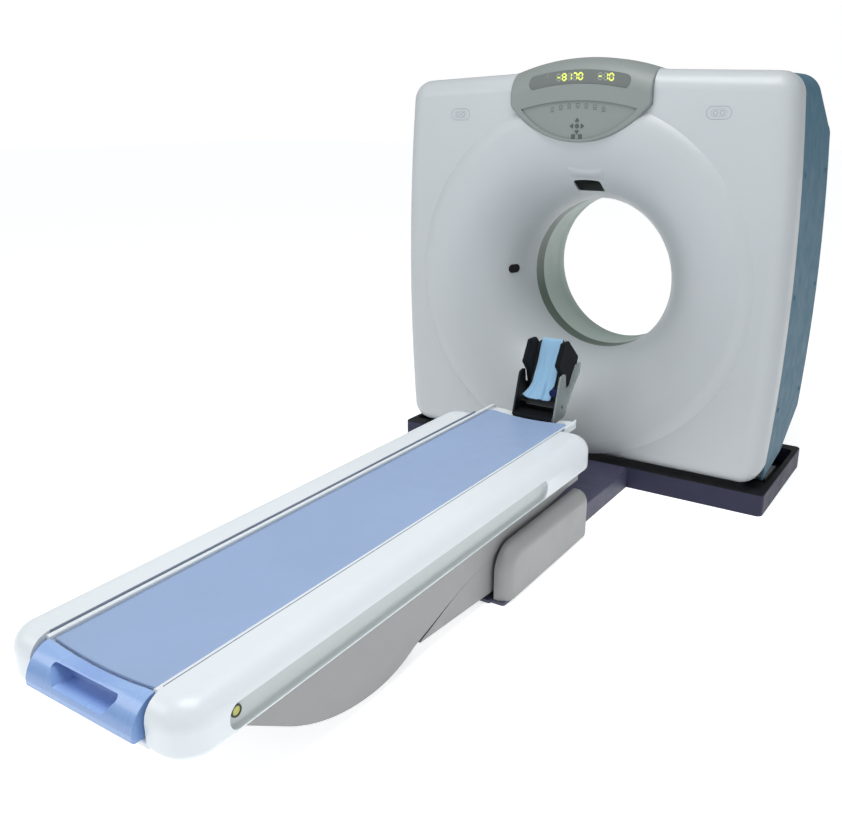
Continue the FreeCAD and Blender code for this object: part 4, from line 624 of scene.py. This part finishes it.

# Air slots in the rear cover: two banks of nine long slots milled through it, with a black fly screen
# glued over them from inside. They are drawn as near-black strips level with the cover and pointed at their
# ends: the screen's own dark plus painted shade for the slots' depth.
bank_middle, bank_height = 0.52, 0.52
slot_half_long, slot_half_high, slot_tip = 0.15, 0.0035, 0.00015
slot_pitch, slot_rows, slot_columns = 0.024, 9, 33
screen_proud = Vector((0, 0.00025, 0))
# Near-black strips: the fly screen's dark colour plus painted shade that stands in for the depth of the
# slots.
screen_painted_shade = painted("screen_painted_shade", linear(24, 30, 34), 0.7, grain=420, pebble=0.9, drift=0.1, shine=0.1)
for name, middle in (("air_slots_left", -bank_middle), ("air_slots_right", bank_middle)):
    points, faces = [], []
    for row in range(slot_rows):
        base = len(points)
        height = bank_height + (row - (slot_rows - 1) / 2) * slot_pitch
        for i in range(slot_columns):
            x = middle + slot_half_long * (i / (slot_columns - 1) * 2 - 1)
            half = slot_tip if i in (0, slot_columns - 1) else slot_half_high
            for z in (height - half, height + half):
                points.append(rear_skin.ray_cast(Vector((x, rear_start, z)), to_front)[0] + screen_proud)
        for a in range(base, len(points) - 2, 2):
            faces.append((a, a + 1, a + 3, a + 2))
    new_piece(name, points, faces, screen_painted_shade, "gantry")

# Table covers: the long hull, the arm's cover and the two pivot boxes are moulded in a warm light grey.
# They sit near the floor, so they are dusty along the bottom and lightly scuffed by shoes.
warm_moulding = painted(
    "warm_moulding", linear(146, 147, 147), 0.42, grain=900, drift=0.02, dust=0.05, scuff=0.04)
coat_nodes(warm_moulding, "boat_cover", "arm_cover", "pivot_cover_left", "pivot_cover_right")

# Foot lip and the cradle's dished shell: the lip is white moulded plastic, smooth and satin,
# and the shell is glass fibre under a gel coat of the same white.
white_moulding = painted(
    "white_moulding", linear(224, 230, 234), 0.34, grain=1000, pebble=0.04, drift=0.012, coat=0.1)
coat_nodes(white_moulding, "foot_lip", "cradle_shell")

# Side rails: long white plastic mouldings on both sides of the table frame, smooth and satin like the lip.
# The pocket in each outer face is painted a shade greyer: painted shade for the recess.
pocket_foot, pocket_head, pocket_top = -1.589, 0.019, 0.352
pocket_inner = 0.30
rail_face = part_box("rail_right")[1][0]
rail_skin = painted(
    "rail_skin", linear(222, 228, 232), 0.34, grain=1000, pebble=0.04, drift=0.012, coat=0.1)
tree = rail_skin.node_tree
place = axes_of(tree, place_in(tree))
from_middle = figured(tree, "ABSOLUTE", place["X"])
# The pocket is painted greyer, a painted shade where the recess gets less light.
pocket_painted_shade = ranged(tree, from_middle, 1, 0, rail_face - 0.006, rail_face - 0.001)
for value, edge, inside in (
    (from_middle, pocket_inner, pocket_inner + 0.01),
    (place["Z"], pocket_top, pocket_top - 0.003),
    (place["Y"], pocket_foot, pocket_foot + 0.003),
    (place["Y"], pocket_head, pocket_head - 0.003),
):
    pocket_painted_shade = figured(tree, "MULTIPLY", pocket_painted_shade, ranged(tree, value, 0, 1, edge, inside))
second_tone(rail_skin, pocket_painted_shade, linear(186, 193, 194))
coat_nodes(rail_skin, "rail_left", "rail_right")

# Wipers: a thin grey rubber strip pressed into the inner edge of each rail. It stands a little proud
# of the rail and keeps dirt and fluids out of the gap beside the cradle.
wiper_foot, wiper_head = -1.655, 0.42
wiper_section = ((0.2092, 0.392), (0.2092, 0.3998), (0.2102, 0.4014), (0.2117, 0.4008), (0.2122, 0.392))
wiper_steps = 120
wiper_rubber = painted("wiper_rubber", linear(122, 134, 152), 0.6, grain=900, pebble=0.2, drift=0.05)
for name, side in (("wiper_left", -1), ("wiper_right", 1)):
    points = []
    for n in range(wiper_steps + 1):
        y = wiper_foot + (wiper_head - wiper_foot) * n / wiper_steps
        points += [(side * x, y, z) for x, z in wiper_section]
    faces = sheet_faces(wiper_steps + 1, len(wiper_section))
    if side > 0:
        faces = [face[::-1] for face in faces]
    new_piece(name, points, faces, wiper_rubber, "table")

# Position marker in the right rail's groove: a yellow-green cap that is pressed into a dark rubber ring.
# The ring's lip laps over the cap's edge and rolls down onto the rail.
ring_section = ((0.9, 0.0), (0.92, 0.0014), (1.0, 0.0022), (1.14, 0.0024), (1.25, 0.0016), (1.3, -0.001))
ring_sides = 48
marker_cap = painted("marker_cap", linear(178, 178, 74), 0.35, drift=0.06, coat=0.3)
coat_nodes(marker_cap, "marker_disc")
marker_rubber = painted("marker_rubber", linear(58, 64, 56), 0.6, grain=700, pebble=0.25, drift=0.08)
low, high = (Vector(corner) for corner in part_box("marker_disc"))
middle, radius = (low + high) / 2, (high.z - low.z) / 2
points, faces = [], []
for n in range(ring_sides):
    bend = 2 * math.pi * n / ring_sides
    for reach, proud in ring_section:
        y = middle.y + radius * reach * math.cos(bend)
        z = middle.z + radius * reach * math.sin(bend)
        points.append((high.x + proud, y, z))
for n in range(ring_sides):
    for k in range(len(ring_section) - 1):
        a, b = n * len(ring_section) + k, (n + 1) % ring_sides * len(ring_section) + k
        faces.append((a, b, b + 1, a + 1))
new_piece("marker_ring", points, faces, marker_rubber, "table")

# Foot handle: a hollow grip moulded in sky blue, shiny, hooked over the foot end of the cradle.
# Its recess is painted paler, painted light where the deep pocket would be shaded, and its upward faces
# carry a painted highlight.
recess_half, recess_edge = 0.096, 0.106
recess_start, recess_full = 0.012, 0.03
handle_low, handle_high = (Vector(corner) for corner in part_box("foot_handle"))
recess_top = handle_high.z - 0.014
handle_gloss = painted(
    "handle_gloss", linear(122, 156, 208), 0.25, grain=500, pebble=0.02, drift=0.015, coat=0.4)
tree = handle_gloss.node_tree
# Upward faces are painted lighter: a painted highlight where the light from above falls.
painted_top_highlight = ranged(tree, facing_up(tree), 0, 0.7, 0.45, 0.95)
second_tone(handle_gloss, painted_top_highlight, linear(160, 190, 236))
place = axes_of(tree, place_in(tree))
from_middle = figured(tree, "ABSOLUTE", place["X"])
# The recess is painted paler: painted light that lifts the shade of the deep pocket.
painted_recess_light = ranged(tree, place["Y"], 0, 1, handle_low.y + recess_start, handle_low.y + recess_full)
for value, inside, edge in (
    (from_middle, recess_half, recess_edge),
    (place["Z"], recess_top, recess_top + 0.006),
):
    painted_recess_light = figured(tree, "MULTIPLY", painted_recess_light, ranged(tree, value, 1, 0, inside, edge))
second_tone(handle_gloss, painted_recess_light, linear(136, 166, 222))
coat_nodes(handle_gloss, "foot_handle")


# Cradle mattress: a thin foam slab in sky-blue vinyl, welded all round its edge and dished to the shell.
# The vinyl is filled tight, with a fine leather grain and two shallow creases across its left half.
# Its foot edge is square and stands clear of the lip, and its head corners are round.
def vinyl(name, shade, rough):
    """Embossed vinyl: a fine cellular grain, a slow change of tone and duller rubbed patches."""
    made = painted(name, shade, rough, drift=0.035)
    tree = made.node_tree
    place = place_in(tree)
    cells = put(tree, "ShaderNodeTexVoronoi", Vector=place, Scale=620.0)
    cells.feature = "DISTANCE_TO_EDGE"
    grain = put(tree, "ShaderNodeBump", Strength=0.25, Distance=0.0006, Height=cells.outputs["Distance"])
    slack = put(tree, "ShaderNodeBump", Strength=0.12, Distance=0.004, Height=clouds(tree, place, 11.0, 3.0))
    tree.links.new(grain.outputs["Normal"], slack.inputs["Normal"])
    tree.links.new(slack.outputs["Normal"], tree.nodes["Principled BSDF"].inputs["Normal"])
    return made


def plumped(piece, pinned, pressure, steps, cap):
    """Blows the cover out like filled fabric, holds the pinned points, and caps how far any point moves."""
    mesh = piece.data
    before = np.array([v.co[:] for v in mesh.vertices])
    group = piece.vertex_groups.new(name="pinned")
    group.add(pinned, 1.0, "REPLACE")
    cloth = piece.modifiers.new("cloth", "CLOTH")
    cloth.settings.vertex_group_mass = "pinned"
    cloth.settings.use_pressure = True
    cloth.settings.uniform_pressure_force = pressure
    cloth.settings.quality = 4
    cloth.settings.tension_stiffness = 40
    cloth.settings.compression_stiffness = 40
    cloth.settings.effector_weights.gravity = 0
    cloth.point_cache.frame_end = steps
    for step in range(1, steps + 1):
        bpy.context.scene.frame_set(step)
    solved = piece.evaluated_get(bpy.context.evaluated_depsgraph_get())
    after = np.array([v.co[:] for v in solved.data.vertices])
    piece.modifiers.remove(cloth)
    bpy.context.scene.frame_set(1)
    move = np.nan_to_num(after - before)
    reach = np.maximum(np.linalg.norm(move, axis=1, keepdims=True), 1e-9)
    move *= np.minimum(reach, cap) / reach
    mesh.vertices.foreach_set("co", (before + move).ravel())
    mesh.update()


pad_low, pad_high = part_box("cradle_pad")
pad_half, pad_foot, pad_head = pad_high[0], pad_low[1], pad_high[1]
pad_edge, pad_thick, pad_sag, pad_corner = 0.393, 0.014, 0.015, 0.034
across_count = 33
foot_part, head_part = 0.016, 0.05
middle_part = pad_head - pad_foot - foot_part - head_part
stations = [pad_foot + step for step in (0, 0.0012, 0.0035, 0.008, foot_part)]
stations += [pad_foot + foot_part + middle_part * n / 189 for n in range(1, 190)]
stations += [pad_head - head_part + head_part * math.sin(math.pi / 2 * n / 9) for n in range(1, 10)]


def slab_ring(y):
    """A closed ring of points round the slab: its top from left to right, then its underside back."""
    to_head = pad_head - y
    half = pad_half
    if to_head < pad_corner:
        half = pad_half - pad_corner + math.sqrt(max(0, pad_corner ** 2 - (pad_corner - to_head) ** 2))
    ends = min((y - pad_foot) / 0.004, to_head / 0.008, 1.0)
    fill = 0.35 + 0.65 * math.sqrt(max(0, 1 - (1 - ends) ** 2))
    top, low = [], []
    for k in range(across_count):
        share = k / (across_count - 1) * 2 - 1
        x = half * (0.45 * share + 0.55 * math.sin(math.pi / 2 * share))
        middle = pad_edge - pad_sag * (1 - (x / pad_half) ** 2) - pad_thick / 2
        plump = fill * (1 - abs(x / half) ** 26) ** 0.5 if abs(x) < half else 0
        top.append((x, y, middle + pad_thick / 2 * plump))
        low.append((x, y, middle - pad_thick / 2 * plump))
    return top + low[-2:0:-1]


pad_points = [spot for y in stations for spot in slab_ring(y)]
ring = 2 * across_count - 2
last = (len(stations) - 1) * ring
faces = []
for base in range(0, last, ring):
    for k in range(ring):
        a, b = base + k, base + (k + 1) % ring
        faces.append((a, a + ring, b + ring, b))
for base, flip in ((0, False), (last, True)):
    for k in range(across_count - 1):
        corners = (base + k, base + k + 1, base + (ring - k - 1) % ring, base + (ring - k) % ring)
        corners = tuple(dict.fromkeys(corners))
        faces.append(corners[::-1] if flip else corners)
pad_vinyl = vinyl("pad_vinyl", linear(146, 168, 203), 0.42)
mattress = new_piece("mattress", pad_points, faces, pad_vinyl, "cradle")
edge_and_underside = [n for n in range(len(pad_points)) if n % ring == 0 or n % ring >= across_count - 1]
plumped(mattress, edge_and_underside, 1.2, 8, 0.0028)
crease_end, crease_half = 0.02, 0.0045
for vertex in mattress.data.vertices:
    x, y, z = vertex.co
    for start, slant, deep in ((-0.31, 0.12, 0.0016), (-0.285, 0.2, 0.0012)):
        off = y - start - slant * x
        if x < crease_end and abs(off) < 0.02 and z > pad_edge - pad_sag - 0.004:
            fade = min(1, (crease_end - x) / 0.05)
            vertex.co.z -= deep * math.exp(-(off / crease_half) ** 2) * fade
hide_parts("cradle_pad")


# The mattress's weld: a thin bead of the same vinyl that runs all round it at half its height,
# squeezed out where the top and bottom skins are pressed together.
def mid_edge(i, k):
    """Half-way between the top and the underside, at station i and point k across."""
    top, low = pad_points[i * ring + k], pad_points[i * ring + (ring - k) % ring]
    return (Vector(top) + Vector(low)) / 2


def beaded(name, path, radius, material, body):
    """A thin round bead along a closed path."""
    sides = 8
    points, faces = [], []
    count = len(path)
    for i, here in enumerate(path):
        way = (path[(i + 1) % count] - path[i - 1]).normalized()
        aside = way.cross(Vector((0, 0, 1))).normalized()
        rise = aside.cross(way)
        for n in range(sides):
            bend = 2 * math.pi * n / sides
            points.append(here + (aside * math.cos(bend) + rise * math.sin(bend)) * radius)
    for i in range(count):
        a, b = i * sides, (i + 1) % count * sides
        for n in range(sides):
            beside = (n + 1) % sides
            faces.append((a + n, a + beside, b + beside, b + n))
    return new_piece(name, points, faces, material, body)


bead_radius, bead_step = 0.0011, 0.003
head, far = len(stations) - 1, across_count - 1
weld_line = [mid_edge(i, far) for i in range(head + 1)]
weld_line += [mid_edge(head, k) for k in range(far - 1, 0, -1)]
weld_line += [mid_edge(i, 0) for i in range(head, -1, -1)]
weld_line += [mid_edge(0, k) for k in range(1, far)]
bead_line = [weld_line[0]]
for spot in weld_line[1:]:
    if (spot - bead_line[-1]).length > bead_step:
        bead_line.append(spot)
beaded("mattress_weld", bead_line, bead_radius, pad_vinyl, "cradle")

# Head holder's board: a leaning back rest with two wings, injection-moulded in black with a fine grain
# and a little worn at its edges.
black_moulding = painted(
    "black_moulding", linear(27, 30, 33), 0.4, grain=900, pebble=0.18, drift=0.1, scuff=0.2)
coat_nodes(black_moulding, "head_board")

# Head holder's bracket: a cup with two side walls, moulded in the same black plastic.
# Its right wall is a plate of clear acrylic, bonded to the cup.
clear_from, clear_blur = 0.1031, 0.0003
bracket_plastic = painted(
    "bracket_plastic", linear(20, 23, 26), 0.45, grain=900, pebble=0.18, drift=0.1, scuff=0.1, shine=0.25)
tree = bracket_plastic.node_tree
skin = tree.nodes["Principled BSDF"]
x = axes_of(tree, place_in(tree))["X"]
clear = ranged(tree, x, 0, 1, clear_from - clear_blur, clear_from + clear_blur)
second_tone(bracket_plastic, clear, linear(196, 206, 206))
tree.links.new(figured(tree, "MULTIPLY", clear, 0.75), skin.inputs["Transmission Weight"])
coat_nodes(bracket_plastic, "head_bracket")

# Head holder's clamping knob: a round grip moulded in dark blue plastic over a steel stud,
# turned by hand to hold the board's lean.
knob_plastic = painted("knob_plastic", linear(12, 26, 70), 0.4, grain=700, drift=0.08, shine=0.25)
coat_nodes(knob_plastic, "head_knob")


# Side pads of the head holder: firm black foam in a coated stretch cover, glued to the board's wings.
# The cover is blown out over the foam, so the faces crown and the edges stay rounded.
def foam_cover(name):
    """Coated stretch fabric: a tight fine weave, matt, with a slight drift of tone."""
    made = painted(name, linear(18, 22, 26), 0.85, drift=0.12, shine=0.1)
    tree = made.node_tree
    skin = tree.nodes["Principled BSDF"]
    skin.inputs["Sheen Weight"].default_value = 0.04
    skin.inputs["Sheen Roughness"].default_value = 0.5
    place = place_in(tree)
    threads = []
    for direction in ("Z", "Y"):
        thread = put(tree, "ShaderNodeTexWave", Vector=place, Scale=260.0, Distortion=0.6)
        thread.bands_direction = direction
        threads.append(thread.outputs["Fac"])
    weave = figured(tree, "MAXIMUM", *threads)
    bump = put(tree, "ShaderNodeBump", Strength=0.3, Distance=0.0005, Height=weave)
    tree.links.new(bump.outputs["Normal"], skin.inputs["Normal"])
    return made


foam_share = (0.84, 0.955, 0.97)
pad_cover = foam_cover("pad_cover")
for label in ("left", "right"):
    foam = bmesh.new()
    foam.from_mesh(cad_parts[f"side_pad_{label}"].data)
    bmesh.ops.remove_doubles(foam, verts=foam.verts, dist=0.0001)
    foam.verts.index_update()
    centre = sum((v.co for v in foam.verts), Vector()) / len(foam.verts)
    points = [centre + Matrix.Diagonal(foam_share) @ (v.co - centre) for v in foam.verts]
    faces = [[v.index for v in face.verts] for face in foam.faces]
    foam.free()
    cushion = new_piece(f"foam_pad_{label}", points, faces, pad_cover, "headrest")
    remesh = cushion.modifiers.new("even_mesh", "REMESH")
    remesh.mode = "VOXEL"
    remesh.voxel_size = 0.0035
    even = bpy.data.meshes.new_from_object(cushion.evaluated_get(bpy.context.evaluated_depsgraph_get()))
    even.materials.clear()
    even.materials.append(pad_cover)
    even.polygons.foreach_set("use_smooth", [True] * len(even.polygons))
    cushion.modifiers.clear()
    cushion.data = even
    plumped(cushion, [], 4.0, 14, 0.0021)
    smooth = cushion.modifiers.new("round", "SUBSURF")
    smooth.levels = smooth.render_levels = 1
    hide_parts(f"side_pad_{label}")


# Head cloth: a light blue disposable drape, cut tapered, tucked over the board between the side pads.
# It hangs in soft folds, flares over the cup's base and ends in a wavy hem.
def drape(name):
    """Thin non-woven fabric: fine threads and soft creases, with a little light passing into it."""
    made = painted(name, linear(140, 180, 210), 0.85, drift=0.05)
    tree = made.node_tree
    skin = tree.nodes["Principled BSDF"]
    skin.inputs["Sheen Weight"].default_value = 0.3
    skin.inputs["Subsurface Weight"].default_value = 0.08
    skin.inputs["Subsurface Radius"].default_value = (0.004, 0.006, 0.008)
    place = place_in(tree)
    threads = put(tree, "ShaderNodeTexWave", Vector=place, Scale=420.0, Distortion=1.5).outputs["Fac"]
    creases = clouds(tree, place, 60.0, 5.0, 0.6)
    fine = put(tree, "ShaderNodeBump", Strength=0.15, Distance=0.0004, Height=threads)
    rumple = put(tree, "ShaderNodeBump", Strength=0.35, Distance=0.002, Height=creases)
    tree.links.new(fine.outputs["Normal"], rumple.inputs["Normal"])
    tree.links.new(rumple.outputs["Normal"], skin.inputs["Normal"])
    return made


hinge = Vector((0.012, 0.601, 0.425))
lean = math.radians(22)
board_up = Vector((0, math.sin(lean), math.cos(lean)))
board_out = Vector((0, -math.cos(lean), math.sin(lean)))
board_face, board_top = 0.005, 0.273
cloth_start, cloth_run, over_top = 0.010, 0.260, 1.18
left_half = ((0.0, 0.082), (0.12, 0.071), (0.28, 0.056), (0.5, 0.050), (0.8, 0.048), (1.2, 0.046))
right_half = ((0.0, 0.052), (0.28, 0.052), (0.5, 0.050), (0.8, 0.048), (1.2, 0.046))
stand = ((0.0, 0.034), (0.12, 0.027), (0.30, 0.018), (0.55, 0.0115), (0.8, 0.0085), (1.0, 0.0078))
fold = ((0.0, 0.0075), (0.2, 0.0075), (0.45, 0.004), (0.75, 0.0020), (1.0, 0.0008), (1.2, 0.0006))


def at_height(height, profile):
    """A size of the cloth read off its profile; height is 0 at the hem and about 1 at the board's top."""
    return np.interp(height, *zip(*profile))


def cloth_side(height, across):
    """How far out to the side a point of the cloth lies: it flares to the hem, and its edges ripple."""
    half = at_height(height, left_half if across < 0 else right_half)
    ripple = 1 + 0.03 * math.sin(13 * height + 2) * abs(across) ** 6 * (1 - height * 0.4)
    return half * across * ripple + 0.004 * math.sin(5 * height) * max(0.0, 1 - height)


def cloth_climb(height, across):
    """How far up the board it lies; the hem hangs in a wave that dies out quickly above it."""
    hem = 0.003 * math.sin(4.0 * across + 1.1) + 0.0008 * math.sin(13.0 * across)
    hem += 0.012 * (across - 0.1) ** 2
    return cloth_start + cloth_run * height + hem * max(0.0, 1 - height) ** 6


def cloth_stand(height, across):
    """How far it stands off the board: two sets of folds and one slanting pleat, all dying out upward."""
    low = max(0.0, 1 - height)
    wave = math.sin(7.2 * across + 0.9 + 1.8 * height) + 0.45 * math.sin(15.5 * across - 3.0 * height + 0.4)
    pleat = math.exp(-((across - 0.12 - 0.5 * (0.5 - height)) / 0.09) ** 2) * low ** 0.7
    out = at_height(height, stand) + at_height(height, fold) * (wave - 1.45) * 0.5
    return board_face + max(out - 0.006 * low * (pleat + across ** 4), 0.0022)


rows, columns = 104, 71
points = []
for i in range(rows):
    height = over_top * i / (rows - 1)
    for j in range(columns):
        across = j / (columns - 1) * 2 - 1
        climb = cloth_climb(height, across)
        out = cloth_stand(height, across)
        if climb > board_top:
            bend = min((climb - board_top) / out, math.pi)
            down_behind = climb - board_top - bend * out
            climb = board_top + out * math.sin(bend) - down_behind
            out = out * math.cos(bend)
        aside = Vector((cloth_side(height, across), 0, 0))
        points.append(hinge + aside + board_up * climb + board_out * out)
cloth_drape = drape("cloth_drape")
cloth = new_piece("head_drape", points, sheet_faces(rows, columns), cloth_drape, "headrest")
thick = cloth.modifiers.new("thickness", "SOLIDIFY")
thick.thickness = 0.0007
thick.offset = 1
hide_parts("head_cloth")
